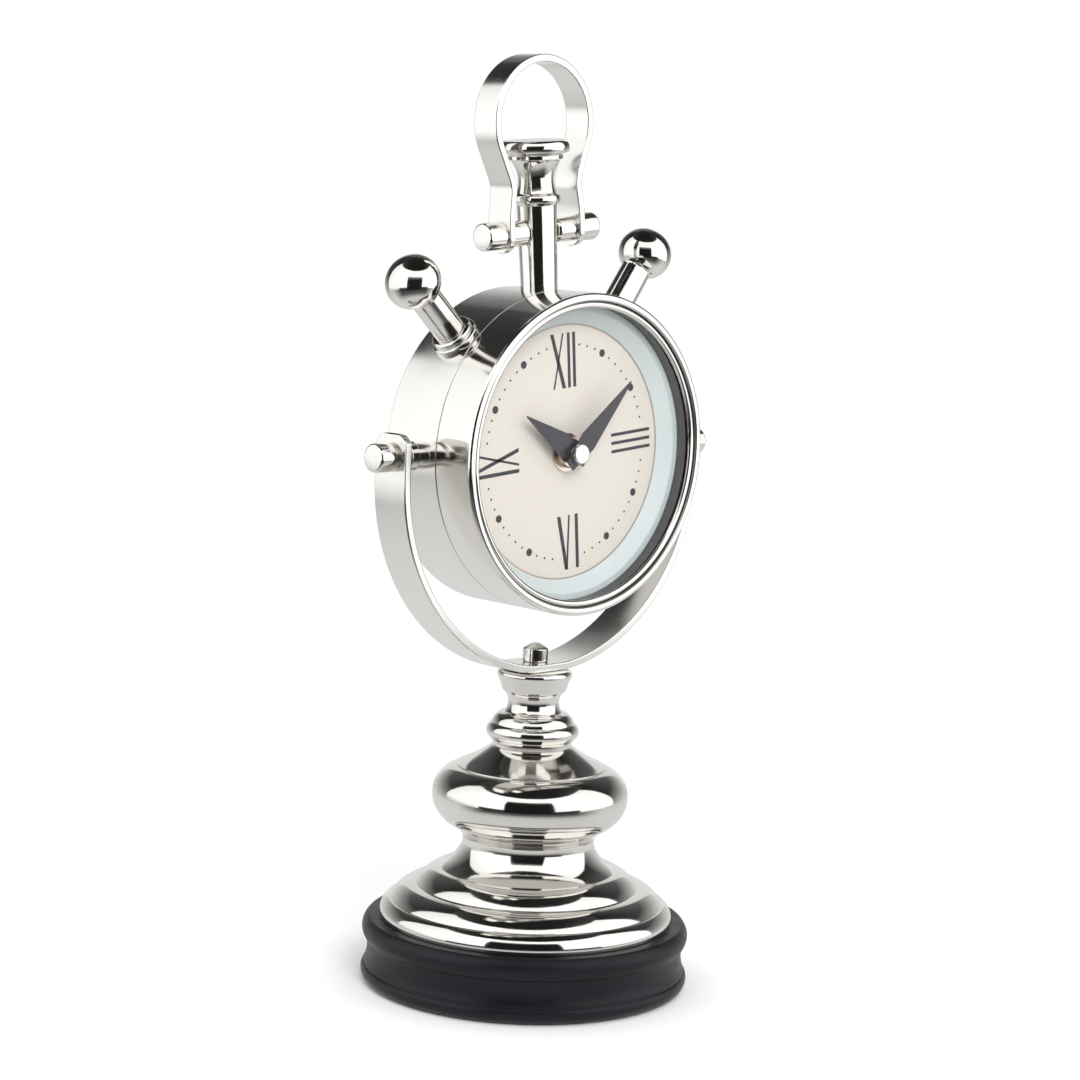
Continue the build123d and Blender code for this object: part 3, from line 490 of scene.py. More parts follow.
# ---------------------------------------------------------------- pedestal
# Three hollow pieces spun or cast in brass, polished and nickel plated, stacked on the rod:
# a stepped foot, a bulb with a coned shoulder, and a short neck of beads under the yoke.
nickel, tree, shader = new_material("polished_nickel")
shader.inputs["Metallic"].default_value = 1.0
vary(tree, shader, "Base Color", add_noise(tree, 14, 3), (0.800, 0.775, 0.735), (0.860, 0.840, 0.805))
vary(tree, shader, "Roughness", add_noise(tree, 60, 6), 0.06, 0.12)
nickel_bump = tree.nodes.new("ShaderNodeMath")
nickel_bump.operation = "MULTIPLY_ADD"
nickel_bump.inputs[1].default_value = 0.12
tree.links.new(add_noise(tree, 900, 2, (1, 1, 0.08)), nickel_bump.inputs[0])
tree.links.new(add_noise(tree, 55, 2), nickel_bump.inputs[2])
add_bump(tree, shader, nickel_bump.outputs["Value"], 0.10, 0.0006)

brushed_nickel, tree, shader = new_material("brushed_nickel")
shader.inputs["Metallic"].default_value = 1.0
vary(tree, shader, "Base Color", add_noise(tree, 14, 3), (0.815, 0.795, 0.760), (0.870, 0.852, 0.820))
vary(tree, shader, "Roughness", add_noise(tree, 40, 5), 0.12, 0.22)
add_bump(tree, shader, add_noise(tree, 60, 2), 0.05, 0.0004)

foot = turned(
    "pedestal_foot_shell",
    outline(
        (52.8, 25.05),
        (56.0, 25.05),
        (55.5, 29.1, 52.6, 31.9),
        (52.0, 31.9),
        (48.7, 35.7, 43.0, 37.9),
        (42.4, 37.9),
        (39.0, 41.8, 33.6, 44.4),
        [(28.1, 48.6), (25.2, 54.6), (25.3, 57.0)],
        (22.1, 57.0),
        (22.1, 52.0),
        (31.0, 42.0),
        (41.0, 34.5),
        (52.8, 25.05),
        closed=True,
    ),
    nickel,
    closed=True,
    segments=200,
)
bulb = turned(
    "pedestal_bulb_shell",
    outline(
        (0, 57.05),
        (25.2, 57.05),
        (26.7, 59.0, 29.6, 61.2),
        [(34.4, 64.9), (36.9, 69.4), (37.4, 72.8), (36.7, 77.0), (34.2, 80.6), (28.4, 84.0)],
        (28.4, 84.4),
        (22.6, 87.2, 15.4, 92.0),
        (0, 92.0),
    ),
    nickel,
    segments=200,
)
neck = turned(
    "pedestal_neck_piece",
    outline(
        (0, 92.0),
        (14.9, 92.0),
        (15.2, 93.6, 16.4, 95.2),
        (17.6, 98.0, 15.6, 100.9),
        (14.7, 103.0, 12.9, 104.6),
        (10.9, 105.4),
        (9.75, 110.0, 11.6, 113.2),
        (12.1, 113.6),
        (13.0, 116.4, 14.0, 119.0),
        (14.0, 120.6, 12.8, 121.6),
        (0, 121.6),
    ),
    nickel,
)
for piece, node in ((foot, "pedestal_foot"), (bulb, "pedestal_bulb"), (neck, "pedestal_neck")):
    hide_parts(node)
    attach(piece, "stand")

# ---------------------------------------------------------------- clamp nut
# A turned nut with a coned top, screwed on the end of the rod to clamp the yoke.
clamp_nut = turned(
    "yoke_clamp_nut_turned",
    outline((0, 124.6), (4.5, 124.6), (4.8, 124.9), (4.8, 129.5), (4.0, 130.1), (1.2, 131.6), (0.0, 131.8)),
    nickel,
    segments=72,
)
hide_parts("yoke_clamp_nut")
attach(clamp_nut, "stand")

# ---------------------------------------------------------------- yoke
# A flat brass strip bent to a half round with two upright ears, its edges broken and
# polished with it, then nickel plated. Screws through the ears carry the case.
case_centre = np.array((0, 0, 205.5))
case_lean = math.radians(5.3)
case_right = np.array((math.cos(case_lean), 0, math.sin(case_lean)))
case_up = np.array((-math.sin(case_lean), 0, math.cos(case_lean)))
forward = np.array((0, -1.0, 0))
strip_end_turns = np.linspace(0.12, math.pi / 2, 9)  # where a strip's round end has its stations
closest_stations = 1e-4
edge_steps = 4            # steps round each rounded edge of a strip
least_flat = 0.05         # what is left between the two rounded edges at a strip's very end


def strap(name, profile, material, half_width, end_radius, half_thickness, edge, origin, right, up):
    # a bent strip: the profile is its centreline in mm, and the ends are rounded across its width
    places, tangents = profile
    length = np.concatenate(([0], np.cumsum(np.linalg.norm(np.diff(places, axis=0), axis=1))))
    total = length[-1]
    extra = end_radius * (1 - np.cos(strip_end_turns))
    stations = np.unique(np.concatenate((length, extra, total - extra)))
    stations = stations[np.concatenate(([True], np.diff(stations) > closest_stations))]
    stations = stations[(stations >= extra[0] - 1e-9) & (stations <= total - extra[0] + 1e-9)]
    section = []
    for quarter, (sx, sy) in enumerate(((1, 1), (-1, 1), (-1, -1), (1, -1))):
        for k in range(edge_steps + 1):
            turn = math.radians(90 * quarter + 90 / edge_steps * k)
            section.append((sx, sy, math.cos(turn), math.sin(turn)))
    points, normals = [], []
    for s in stations:
        place = np.array([np.interp(s, length, places[:, i]) for i in (0, 1)])
        tangent = np.array([np.interp(s, length, tangents[:, i]) for i in (0, 1)])
        tangent /= np.linalg.norm(tangent)
        centre = origin + right * place[0] + up * place[1]
        ahead = right * tangent[0] + up * tangent[1]
        thick = right * tangent[1] - up * tangent[0]
        near = min(s, total - s)
        half, slope = half_width, 0.0
        if near < end_radius:
            rise = math.sqrt(max(end_radius**2 - (end_radius - near) ** 2, 1e-6))
            half = half_width - end_radius + rise
            slope = (end_radius - near) / rise * (1 if s < total / 2 else -1)
        half = max(half, edge + least_flat)
        for sx, sy, cx, cy in section:
            through = thick * (sx * (half_thickness - edge) + edge * cx)
            across_strip = forward * (sy * (half - edge) + edge * cy)
            points.append(centre + through + across_strip)
            normal = thick * cx + forward * cy - ahead * abs(cy) * slope
            normals.append(normal / np.linalg.norm(normal))
    count = len(section)
    faces, corners = [], []
    for row in range(len(stations) - 1):
        for i in range(count):
            j = (i + 1) % count
            face = [row * count + j, row * count + i, (row + 1) * count + i, (row + 1) * count + j]
            faces.append(face)
            corners.extend(normals[v] for v in face)
    for row, way in ((0, -1), (len(stations) - 1, 1)):
        ring = [row * count + i for i in range(count)]
        ahead = tangents[0] if row == 0 else tangents[-1]
        normal = (right * ahead[0] + up * ahead[1]) * way
        faces.append(ring if way == 1 else ring[::-1])
        corners.extend([normal] * count)
    piece = shaded_mesh(name, points, faces, corners, material)
    inside = sum(p.center.dot(p.normal) * p.area for p in piece.data.polygons)
    if inside < 0:
        raise ValueError(name + " is inside out")
    return piece


yoke_seat = 121.6
yoke_outer_radius = 76
yoke_flat = 8             # half of the flat that sits on the neck
yoke_half_thickness = 1.5
ear_top = 214.0
bend_centre = yoke_seat + math.sqrt(yoke_outer_radius**2 - yoke_flat**2)
middle_radius = yoke_outer_radius - yoke_half_thickness
flat_turn = math.asin(yoke_flat / yoke_outer_radius)


def bend_place(angle):
    return (middle_radius * math.sin(angle), bend_centre - middle_radius * math.cos(angle))


yoke_line = outline(
    (-middle_radius, ear_top),
    (-middle_radius, bend_centre),
    (*bend_place(-math.pi / 4), *bend_place(-flat_turn)),
    bend_place(flat_turn),
    (*bend_place(math.pi / 4), middle_radius, bend_centre),
    (middle_radius, ear_top),
    ease=1.0,
)
yoke_strip = strap(
    "yoke_strip",
    yoke_line,
    brushed_nickel,
    half_width=8.5,
    end_radius=5.0,
    half_thickness=yoke_half_thickness,
    edge=0.6,
    origin=np.zeros(3),
    right=np.array((1.0, 0, 0)),
    up=np.array((0, 0, 1.0)),
)
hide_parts("yoke")
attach(yoke_strip, "stand")

# ---------------------------------------------------------------- case
# A drum in two spun cups: a plain rear can and a front bezel with a rolled lip. They push
# together at a fine seam, and both are polished and nickel plated inside the lip as well.
can = turned(
    "rear_can_shell",
    outline((58.8, -20.5), (60, -20.5), (60, 6.42), (58.8, 6.42), (58.8, -20.5), closed=True, ease=0.4),
    brushed_nickel,
    case_centre,
    forward,
    closed=True,
    segments=256,
)
throat_satin_and_painted_shade = 0.0569     # metres from the drum's axis: the bezel is satin and darkened with painted shade up to here
throat_polished_past_painted_shade = 0.0575  # and polished, without painted shade, from here
bezel_nickel, tree, shader = new_material("bezel_nickel")
shader.inputs["Metallic"].default_value = 1.0
bezel_place = tree.nodes.new("ShaderNodeTexCoord")
bezel_centred = tree.nodes.new("ShaderNodeVectorMath")
bezel_centred.operation = "SUBTRACT"
bezel_centred.inputs[1].default_value = case_centre * mm
bezel_flattened = tree.nodes.new("ShaderNodeVectorMath")
bezel_flattened.operation = "MULTIPLY"
bezel_flattened.inputs[1].default_value = (1, 0, 1)
from_axis = tree.nodes.new("ShaderNodeVectorMath")
from_axis.operation = "LENGTH"
tree.links.new(bezel_place.outputs["Object"], bezel_centred.inputs[0])
tree.links.new(bezel_centred.outputs["Vector"], bezel_flattened.inputs[0])
tree.links.new(bezel_flattened.outputs["Vector"], from_axis.inputs[0])
# Inside the throat the base colour darkens from bright nickel to near black: painted shade in the recess
# behind the glass. The roughness turns satin there too.
out_of_painted_shade = ramp(tree, from_axis.outputs["Value"], 0.0, 1.0, throat_satin_and_painted_shade, throat_polished_past_painted_shade)
vary(tree, shader, "Base Color", out_of_painted_shade, (0.16, 0.16, 0.165), (0.85, 0.83, 0.795), 0.0, 1.0)
vary(tree, shader, "Roughness", from_axis.outputs["Value"], 0.38, 0.12, throat_satin_and_painted_shade, throat_polished_past_painted_shade)
add_bump(tree, shader, add_noise(tree, 60, 2), 0.05, 0.0004)
bezel = turned(
    "front_bezel_shell",
    outline(
        (58.2, 6.62),
        (60, 6.62),
        (60, 23.8),
        (59.6, 24.8, 58.6, 25.2),
        (57.5, 25.2),
        (57.0, 24.7),
        (57.0, 21.4),
        (55.0, 21.4),
        (55.0, 16.6),
        (55.8, 16.6),
        (55.8, 8.0),
        (57.2, 8.0),
        (58.2, 6.62),
        closed=True,
        ease=0.3,
    ),
    bezel_nickel,
    case_centre,
    forward,
    closed=True,
    segments=256,
)
glass_retainer = turned(
    "glass_ring_turned",
    outline(
        (54.4, 23.2),
        (56.8, 23.2),
        (56.8, 23.8),
        (55.6, 24.4, 54.4, 23.5),
        (54.4, 23.2),
        closed=True,
        ease=0.15,
    ),
    nickel,
    case_centre,
    forward,
    closed=True,
    segments=256,
)
for piece, node in ((can, "rear_can"), (bezel, "front_bezel"), (glass_retainer, "glass_ring")):
    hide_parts(node)
    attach(piece, "case")

# ---------------------------------------------------------------- bevel ring, dial and glass
# A pale painted ring slopes from the glass down to the dial. The dial is sheet metal in
# cream enamel with a thin gilt edge. A flat clear glass closes the front.
pale_paint, tree, shader = new_material("pale_bevel_paint")
vary(tree, shader, "Base Color", add_noise(tree, 25, 3), (0.60, 0.650, 0.655), (0.66, 0.705, 0.710))
shader.inputs["Roughness"].default_value = 0.35
add_bump(tree, shader, add_noise(tree, 500, 2), 0.08, 0.0001)
surround = turned(
    "bevel_ring",
    outline(
        (48, 12.02),
        (55.6, 12.02),
        (55.6, 16.6),
        (52.8, 16.6),
        (52.4, 16.4),
        (48, 12.3),
        (48, 12.02),
        closed=True,
        ease=0.15,
    ),
    pale_paint,
    case_centre,
    forward,
    closed=True,
    segments=256,
)
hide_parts("dial_surround")
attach(surround, "case")

dial_depth = 12.0         # the dial's face, in front of the drum's centre
gilt_start = 0.0472       # metres from the dial's centre
gilt_end = 0.0479
dial_paint, tree, shader = new_material("cream_dial")
dial_place = tree.nodes.new("ShaderNodeTexCoord")
dial_centred = tree.nodes.new("ShaderNodeVectorMath")
dial_centred.operation = "SUBTRACT"
dial_centred.inputs[1].default_value = (case_centre + forward * dial_depth) * mm
from_centre = tree.nodes.new("ShaderNodeVectorMath")
from_centre.operation = "LENGTH"
dial_tone = tree.nodes.new("ShaderNodeMix")
dial_tone.data_type = "RGBA"
dial_tone.blend_type = "MULTIPLY"
dial_tone.inputs["Factor"].default_value = 0.75
tree.links.new(dial_place.outputs["Object"], dial_centred.inputs[0])
tree.links.new(dial_centred.outputs["Vector"], from_centre.inputs[0])
gilt = ramp(tree, from_centre.outputs["Value"], 0.0, 1.0, gilt_start, gilt_end)
enamel_colour = ramp(tree, add_noise(tree, 9, 2), (0.685, 0.622, 0.560), (0.720, 0.655, 0.595))
edge_colour = ramp(tree, gilt, (1, 1, 1), (0.30, 0.17, 0.07), 0.0, 1.0)
tree.links.new(enamel_colour, dial_tone.inputs["A"])
tree.links.new(edge_colour, dial_tone.inputs["B"])
tree.links.new(dial_tone.outputs["Result"], shader.inputs["Base Color"])
shader.inputs["Roughness"].default_value = 0.5
add_bump(tree, shader, add_noise(tree, 700, 2), 0.05, 0.0001)
dress(dial_paint, "dial")

clear_glass = bpy.data.materials.new("clear_glass")
clear_glass.use_nodes = True
tree = clear_glass.node_tree
tree.nodes.clear()
glass_through = tree.nodes.new("ShaderNodeBsdfTransparent")
glass_through.inputs["Color"].default_value = (0.985, 0.992, 0.992, 1)
glass_sheen = tree.nodes.new("ShaderNodeBsdfGlossy")
smears = ramp(tree, add_noise(tree, 35, 4), 0.01, 0.05)
tree.links.new(smears, glass_sheen.inputs["Roughness"])
glass_fresnel = tree.nodes.new("ShaderNodeFresnel")
glass_fresnel.inputs["IOR"].default_value = 1.10
glass_mix = tree.nodes.new("ShaderNodeMixShader")
glass_out = tree.nodes.new("ShaderNodeOutputMaterial")
tree.links.new(glass_fresnel.outputs["Fac"], glass_mix.inputs["Fac"])
tree.links.new(glass_through.outputs["BSDF"], glass_mix.inputs[1])
tree.links.new(glass_sheen.outputs["BSDF"], glass_mix.inputs[2])
tree.links.new(glass_mix.outputs["Shader"], glass_out.inputs["Surface"])
dress(clear_glass, "glass")

# ---------------------------------------------------------------- dial printing
# Tall condensed numerals at twelve, three, six and nine with thick and thin strokes, a
# round dot for each other hour and a small one for each minute, screen printed in charcoal.
ink, tree, shader = new_material("charcoal_ink")
vary(tree, shader, "Base Color", add_noise(tree, 300, 3), (0.034, 0.034, 0.040), (0.052, 0.052, 0.060))
shader.inputs["Roughness"].default_value = 0.55

# for each numeral its clock angle in degrees, and for each of its strokes where the two
# sides stand across it, at the stroke's inner end and then at its outer end
numerals = (
    (0, ((-0.8, 1.0, -6.5, -4.8), (-5.5, -4.7, -0.4, 0.4), (2.1, 3.5, 2.1, 3.5), (4.8, 6.3, 4.8, 6.3))),
    (90, ((-3.8, -2.6, -3.8, -2.6), (-0.6, 0.6, -0.6, 0.6), (2.6, 3.8, 2.6, 3.8))),
    (180, ((3.7, 5.5, 0.4, 2.1), (-1.2, -0.3, 0.6, 1.5), (-5.3, -3.7, -5.3, -3.7))),
    (270, ((-4.4, -3.0, -4.4, -3.0), (3.3, 4.8, -2.2, -0.8), (-1.9, -1.0, 3.7, 4.6))),
)
numeral_inner = 24.0
numeral_outer = 44.6
print_thickness = 0.05
print_gap = 0.005
points, faces = [], []
for clock_angle, strokes in numerals:
    turn = math.radians(clock_angle)
    outwards = case_right * math.sin(turn) + case_up * math.cos(turn)
    sideways = case_right * math.cos(turn) - case_up * math.sin(turn)
    for inner_low, inner_high, outer_low, outer_high in strokes:
        first = len(points)
        for depth in (dial_depth + print_gap, dial_depth + print_thickness):
            for offset, reach in (
                (inner_low, numeral_inner),
                (inner_high, numeral_inner),
                (outer_high, numeral_outer),
                (outer_low, numeral_outer),
            ):
                points.append(case_centre + outwards * reach + sideways * offset + forward * depth)
        faces.append([first + 3, first + 2, first + 1, first])
        faces.append([first + 4, first + 5, first + 6, first + 7])
        for i in range(4):
            j = (i + 1) % 4
            faces.append([first + i, first + j, first + 4 + j, first + 4 + i])
numeral_mesh = bpy.data.meshes.new("dial_numerals")
numeral_mesh.from_pydata([tuple(p * mm) for p in points], [], faces)
numeral_mesh.materials.append(ink)
dial_numerals = bpy.data.objects.new("dial_numerals", numeral_mesh)
bpy.context.scene.collection.objects.link(dial_numerals)
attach(dial_numerals, "case")

dots = bpy.data.node_groups.new("minute_and_hour_dots", "GeometryNodeTree")
dots.interface.new_socket("Geometry", in_out="OUTPUT", socket_type="NodeSocketGeometry")
dot_inputs = {}
for label in ("Ring radius", "Hour dot radius", "Minute dot radius", "Print thickness"):
    socket = dots.interface.new_socket(label, in_out="INPUT", socket_type="NodeSocketFloat")
    dot_inputs[label] = socket.identifier
minutes = 60
dot_sides = 28
dot_sizes = dots.nodes.new("NodeGroupInput")
dots_made = dots.nodes.new("NodeGroupOutput")
minute_ring = dots.nodes.new("GeometryNodeMeshCircle")
minute_ring.inputs["Vertices"].default_value = minutes
dots.links.new(dot_sizes.outputs["Ring radius"], minute_ring.inputs["Radius"])
minute_index = dots.nodes.new("GeometryNodeInputIndex")


def index_over(divisor):
    node = dots.nodes.new("ShaderNodeMath")
    node.operation = "MODULO"
    node.inputs[1].default_value = divisor
    dots.links.new(minute_index.outputs["Index"], node.inputs[0])
    return node.outputs["Value"]


def is_between(value, low, high):
    above = dots.nodes.new("ShaderNodeMath")
    above.operation = "GREATER_THAN"
    above.inputs[1].default_value = low
    below = dots.nodes.new("ShaderNodeMath")
    below.operation = "LESS_THAN"
    below.inputs[1].default_value = high
    both = dots.nodes.new("ShaderNodeMath")
    both.operation = "MULTIPLY"
    dots.links.new(value, above.inputs[0])
    dots.links.new(value, below.inputs[0])
    dots.links.new(above.outputs["Value"], both.inputs[0])
    dots.links.new(below.outputs["Value"], both.inputs[1])
    return both.outputs["Value"]


def also(first_test, second_test):
    node = dots.nodes.new("ShaderNodeMath")
    node.operation = "MULTIPLY"
    dots.links.new(first_test, node.inputs[0])
    dots.links.new(second_test, node.inputs[1])
    return node.outputs["Value"]


beside_numeral = is_between(index_over(15), 1.5, 13.5)
hour_place = is_between(index_over(5), -0.5, 0.5)
minute_place = is_between(index_over(5), 0.5, 4.5)
joined_dots = dots.nodes.new("GeometryNodeJoinGeometry")
for label, wanted in (
    ("Hour dot radius", also(beside_numeral, hour_place)),
    ("Minute dot radius", also(beside_numeral, minute_place)),
):
    dot = dots.nodes.new("GeometryNodeMeshCylinder")
    dot.inputs["Vertices"].default_value = dot_sides
    dots.links.new(dot_sizes.outputs[label], dot.inputs["Radius"])
    dots.links.new(dot_sizes.outputs["Print thickness"], dot.inputs["Depth"])
    place_dots = dots.nodes.new("GeometryNodeInstanceOnPoints")
    dots.links.new(minute_ring.outputs["Mesh"], place_dots.inputs["Points"])
    dots.links.new(wanted, place_dots.inputs["Selection"])
    dots.links.new(dot.outputs["Mesh"], place_dots.inputs["Instance"])
    dots.links.new(place_dots.outputs["Instances"], joined_dots.inputs["Geometry"])
real_dots = dots.nodes.new("GeometryNodeRealizeInstances")
inked_dots = dots.nodes.new("GeometryNodeSetMaterial")
inked_dots.inputs["Material"].default_value = ink
dots.links.new(joined_dots.outputs["Geometry"], real_dots.inputs["Geometry"])
dots.links.new(real_dots.outputs["Geometry"], inked_dots.inputs["Geometry"])
dots.links.new(inked_dots.outputs["Geometry"], dots_made.inputs["Geometry"])
dot_carrier = bpy.data.objects.new("dial_dots_carrier", bpy.data.meshes.new("dial_dots_carrier"))
bpy.context.scene.collection.objects.link(dot_carrier)
dot_modifier = dot_carrier.modifiers.new("dots", "NODES")
dot_modifier.node_group = dots
for label, size in (
    ("Ring radius", 0.0404),
    ("Hour dot radius", 0.00145),
    ("Minute dot radius", 0.00042),
    ("Print thickness", print_thickness * mm),
):
    dot_modifier[dot_inputs[label]] = size
bpy.context.view_layer.update()
dots_evaluated = dot_carrier.evaluated_get(bpy.context.evaluated_depsgraph_get())
dot_mesh = bpy.data.meshes.new_from_object(dots_evaluated)
bpy.data.objects.remove(dot_carrier)
dot_origin = (case_centre + forward * (dial_depth + print_thickness / 2)) * mm
dot_mesh.transform(
    Matrix(
        (
            (case_right[0], case_up[0], forward[0], dot_origin[0]),
            (case_right[1], case_up[1], forward[1], dot_origin[1]),
            (case_right[2], case_up[2], forward[2], dot_origin[2]),
            (0, 0, 0, 1),
        )
    )
)
dial_dots = bpy.data.objects.new("dial_dots", dot_mesh)
bpy.context.scene.collection.objects.link(dial_dots)
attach(dial_dots, "case")

# ---------------------------------------------------------------- hands and their nuts
# Two flat hands stamped from sheet, painted dark gunmetal with a fine sparkle. A bright cap
# nut holds the minute hand, and a brassy washer and nut hold the movement to the dial.
hand_paint, tree, shader = new_material("gunmetal_hands")
shader.inputs["Metallic"].default_value = 0.55
hand_place = tree.nodes.new("ShaderNodeTexCoord")
flakes = tree.nodes.new("ShaderNodeTexVoronoi")
flakes.inputs["Scale"].default_value = 5200
tree.links.new(hand_place.outputs["Object"], flakes.inputs["Vector"])
gunmetal, sparkle = (0.055, 0.050, 0.058), (0.20, 0.19, 0.21)
vary(tree, shader, "Base Color", flakes.outputs["Color"], gunmetal, sparkle, 0.55, 0.95)
shader.inputs["Roughness"].default_value = 0.42
add_bump(tree, shader, add_noise(tree, 2500, 2), 0.2, 0.0001)
dress(hand_paint, "hour_hand", "minute_hand")

brassy, tree, shader = new_material("bright_brass")
shader.inputs["Metallic"].default_value = 1.0
vary(tree, shader, "Base Color", add_noise(tree, 200, 3), (0.72, 0.60, 0.50), (0.80, 0.69, 0.58))
vary(tree, shader, "Roughness", add_noise(tree, 500, 3), 0.16, 0.30)
dress(brassy, "centre_washer", "centre_nut")

cap_nut = turned(
    "hand_cap_nut_turned",
    outline((0, 19.35), (3.9, 19.35), (3.9, 20.6), (3.5, 21.0), (0, 21.05), ease=0.3),
    nickel,
    case_centre,
    forward,
    segments=72,
)
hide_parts("hand_cap_nut")
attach(cap_nut, "minute")

# ---------------------------------------------------------------- pivots
# On each side a round-headed screw passes the yoke's ear, a washer and a turned spacer into
# the drum, where a nut holds it. The drum turns on these two screws.
for side, hand in ((-1, "left"), (1, "right")):
    along = (side, 0, 0)
    screw = turned(
        "pivot_screw_" + hand + "_turned",
        outline(
            (0, 58.0),
            (2.0, 58.0),
            (2.0, 77.35),
            (5.25, 77.35),
            (5.25, 83.15),
            (4.95, 83.9, 4.2, 84.2),
            [(2.6, 84.33), (0, 84.36)],
        ),
        nickel,
        case_centre,
        along,
        segments=96,
    )
    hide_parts("pivot_screw_" + hand)
    spacer = turned(
        "pivot_spacer_" + hand + "_turned",
        outline(
            (2.05, 59.2),
            (5.0, 59.2),
            (5.0, 66.3),
            (5.9, 66.9),
            (5.9, 70.1),
            (4.2, 70.9),
            (4.2, 72.95),
            (2.05, 72.95),
            (2.05, 59.2),
            closed=True,
        ),
        nickel,
        case_centre,
        along,
        closed=True,
        segments=96,
    )
    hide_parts("pivot_spacer_" + hand)
    washer = turned(
        "pivot_washer_" + hand + "_turned",
        outline(
            (2.05, 76.05),
            (3.6, 76.05),
            (3.6, 77.35),
            (2.05, 77.35),
            (2.05, 76.05),
            closed=True,
            ease=0.15,
        ),
        nickel,
        case_centre,
        along,
        closed=True,
        segments=72,
    )
    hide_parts("pivot_washer_" + hand)
    for piece in (screw, spacer, washer):
        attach(piece, "case")

# ---------------------------------------------------------------- crown
# A turned post like a pocket watch's winding crown: a plain stem, a ring, a waisted neck and
# a flat disc. It is screwed through the drum and only holds the bow.
crown = turned(
    "crown_stem_turned",
    outline(
        (0, 58.6),
        (6.9, 58.6),
        (6.9, 62.0),
        (7.5, 91.6),
        (8.5, 92.4),
        (8.9, 93.9, 8.5, 95.3),
        (7.6, 95.9),
        (6.75, 101.0, 9.4, 107.9),
        (10.3, 108.4),
        (10.3, 109.9),
        (11.4, 110.5),
        (12.4, 110.9),
        (13.0, 113.0, 12.4, 114.8),
        (11.8, 115.3),
        (0, 115.3),
    ),
    nickel,
    case_centre,
    case_up,
    segments=128,
)
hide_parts("crown_stem")
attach(crown, "case")

# ---------------------------------------------------------------- bow
# A strip bent into a loop with two ears, like the bow of a pocket watch. It turns on two
# round-headed pins screwed into the crown, with a turned spacer on each side.
loop_centre = 121.85
loop_radius = 23.35
shoulder = math.radians(113)
bow_hinge_height = 81.6


def loop_place(angle):
    return (loop_radius * math.sin(angle), loop_centre + loop_radius * math.cos(angle))


bow_line = outline(
    (17.8, 75.0),
    (17.8, 88.1),
    (16.1, 99.5),
    loop_place(shoulder),
    (*loop_place(0), *loop_place(-shoulder)),
    (-16.1, 99.5),
    (-17.8, 88.1),
    (-17.8, 75.0),
    ease=3.2,
)
bow_strip = strap(
    "bow_strip",
    bow_line,
    brushed_nickel,
    half_width=6.0,
    end_radius=6.0,
    half_thickness=1.4,
    edge=0.55,
    origin=case_centre,
    right=case_right,
    up=case_up,
)
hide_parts("bow")
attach(bow_strip, "bow")

bow_hinge = case_centre + case_up * bow_hinge_height
for side, hand in ((-1, "left"), (1, "right")):
    pin = turned(
        "bow_pin_" + hand + "_turned",
        outline(
            (0, 5.5),
            (1.5, 5.5),
            (1.5, 19.25),
            (5.15, 19.25),
            (5.15, 27.05),
            (4.85, 27.8, 4.1, 28.05),
            [(2.6, 28.2), (0, 28.24)],
        ),
        nickel,
        bow_hinge,
        case_right * side,
        segments=96,
    )
    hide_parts("bow_pin_" + hand)
    spacer = turned(
        "bow_spacer_" + hand + "_turned",
        outline(
            (1.55, 7.5),
            (3.9, 7.5),
            (4.65, 8.3),
            (4.65, 16.35),
            (1.55, 16.35),
            (1.55, 7.5),
            closed=True,
        ),
        nickel,
        bow_hinge,
        case_right * side,
        closed=True,
        segments=96,
    )
    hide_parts("bow_spacer_" + hand)
    for piece in (pin, spacer):
        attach(piece, "case")

# ---------------------------------------------------------------- pushers
# Two ornaments like a stopwatch's pushers: a collar shaped to the drum, and a stem with a
# slightly flattened ball, turned in one piece and held by a nut inside the drum.
pusher_angle = 41         # degrees from the crown
pusher_setback = 2.8      # behind the drum's centre
ball_radius = 10.4
ball_half_height = 9.5
ball_centre = 90.5
pusher_origin = case_centre - forward * pusher_setback
ball = []
for latitude in range(-56, 84, 10):
    rise = math.radians(latitude)
    ball.append((ball_radius * math.cos(rise), ball_centre + ball_half_height * math.sin(rise)))
ball.append((0.0, ball_centre + ball_half_height))
for side, hand in ((-1, "left"), (1, "right")):
    turn = math.radians(pusher_angle * side)
    along = case_right * math.sin(turn) + case_up * math.cos(turn)
    collar = turned(
        "pusher_collar_" + hand + "_turned",
        outline(
            (2.0, 57.5),
            (9.0, 57.5),
            (9.0, 61.6),
            (8.8, 62.3, 8.0, 62.6),
            (7.8, 62.9),
            (7.9, 64.1, 7.0, 64.8),
            (2.0, 64.8),
            (2.0, 57.5),
            closed=True,
        ),
        nickel,
        pusher_origin,
        along,
        closed=True,
        segments=128,
    )
    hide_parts("pusher_collar_" + hand)
    knob = turned(
        "pusher_" + hand + "_turned",
        outline((0, 60.0), (2.0, 60.0), (2.0, 64.8), (6.0, 64.8), ball[0], ball[1:], ease=0.5),
        nickel,
        pusher_origin,
        along,
        segments=144,
    )
    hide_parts("pusher_" + hand)
    for piece in (collar, knob):
        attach(piece, "case")

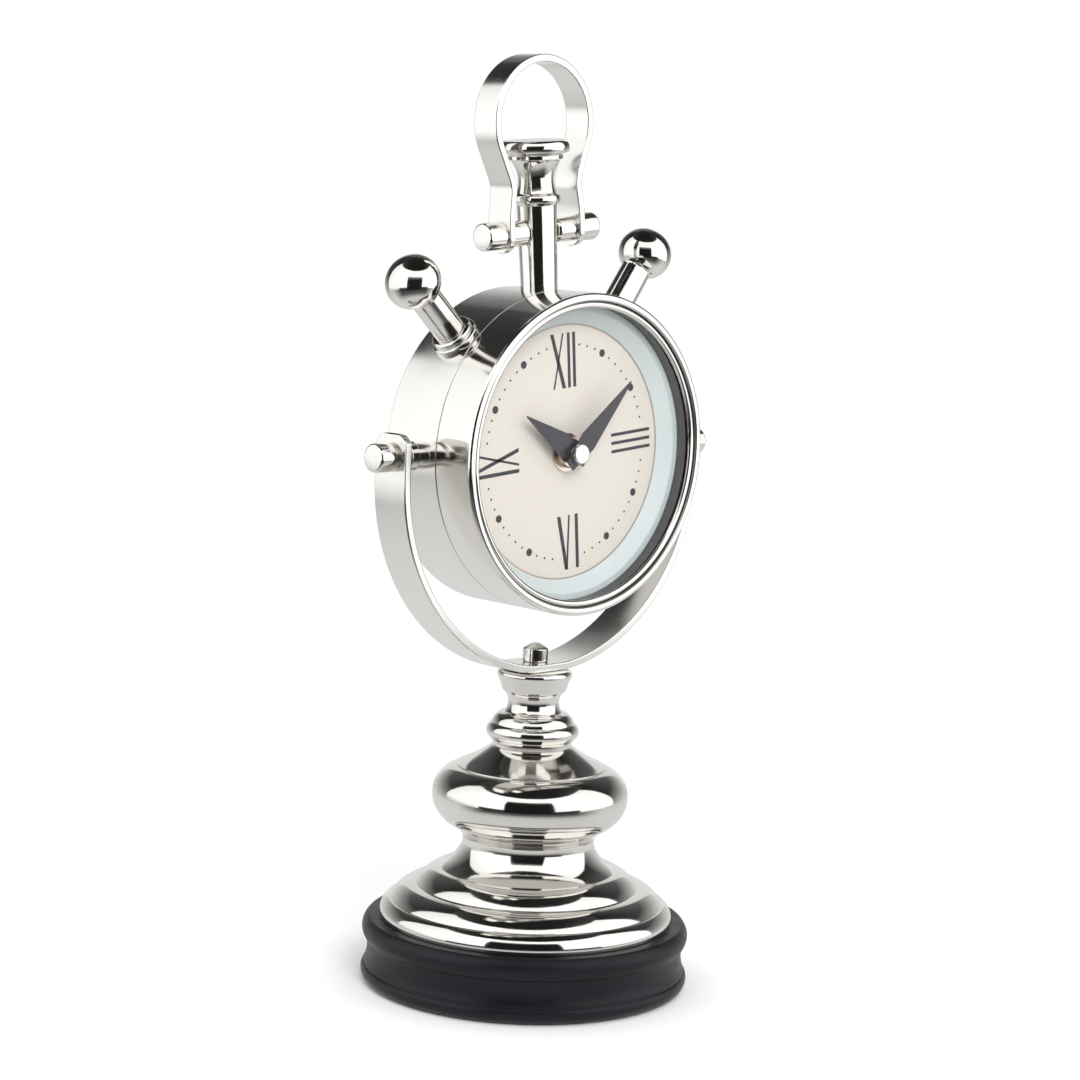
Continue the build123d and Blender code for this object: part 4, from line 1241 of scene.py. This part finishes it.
# ---------------------------------------------------------------- back of the case
# A nickel-plated cover with four screws closes the can, and a snap-in black cap in its
# centre gives way to the battery and the setting knob.
dress(brushed_nickel, "back_cover")
black_plastic, tree, shader = new_material("moulded_black_plastic")
vary(tree, shader, "Base Color", add_noise(tree, 60, 3), (0.012, 0.012, 0.013), (0.022, 0.022, 0.024))
vary(tree, shader, "Roughness", add_noise(tree, 400, 3), 0.38, 0.55)
add_bump(tree, shader, add_noise(tree, 1600, 3), 0.25, 0.00015)
dress(black_plastic, "back_cap", "movement_case", "movement_cover")
dress(
    plated_steel,
    "back_cover_screws",
    "dial_snap_ring",
    "pivot_nut_left",
    "pivot_nut_right",
    "crown_nut",
    "pusher_nut_left",
    "pusher_nut_right",
    "battery_contacts",
    "motor_stator",
)

# ---------------------------------------------------------------- quartz movement
# Moulded wheels, a setting knob, a small motor and its board, and one cell, all out of
# sight inside the drum.
white_plastic, tree, shader = new_material("natural_plastic")
vary(tree, shader, "Base Color", add_noise(tree, 80, 3), (0.66, 0.65, 0.60), (0.76, 0.75, 0.70))
shader.inputs["Roughness"].default_value = 0.45
dress(white_plastic, "hour_wheel", "minute_arbor", "minute_wheel", "setting_knob")

cell_jacket, tree, shader = new_material("cell_jacket")
vary(tree, shader, "Base Color", add_noise(tree, 40, 2), (0.05, 0.07, 0.10), (0.08, 0.10, 0.14))
shader.inputs["Roughness"].default_value = 0.3
dress(cell_jacket, "battery")

laminate, tree, shader = new_material("circuit_laminate")
vary(tree, shader, "Base Color", add_noise(tree, 500, 2), (0.02, 0.12, 0.05), (0.04, 0.20, 0.09))
shader.inputs["Roughness"].default_value = 0.4
dress(laminate, "circuit_board")

winding, tree, shader = new_material("copper_winding")
shader.inputs["Metallic"].default_value = 0.8
winding_lines = add_noise(tree, 1200, 2, (1, 0.1, 0.1))
vary(tree, shader, "Base Color", winding_lines, (0.45, 0.17, 0.07), (0.70, 0.30, 0.14))
shader.inputs["Roughness"].default_value = 0.35
dress(winding, "motor_coil")
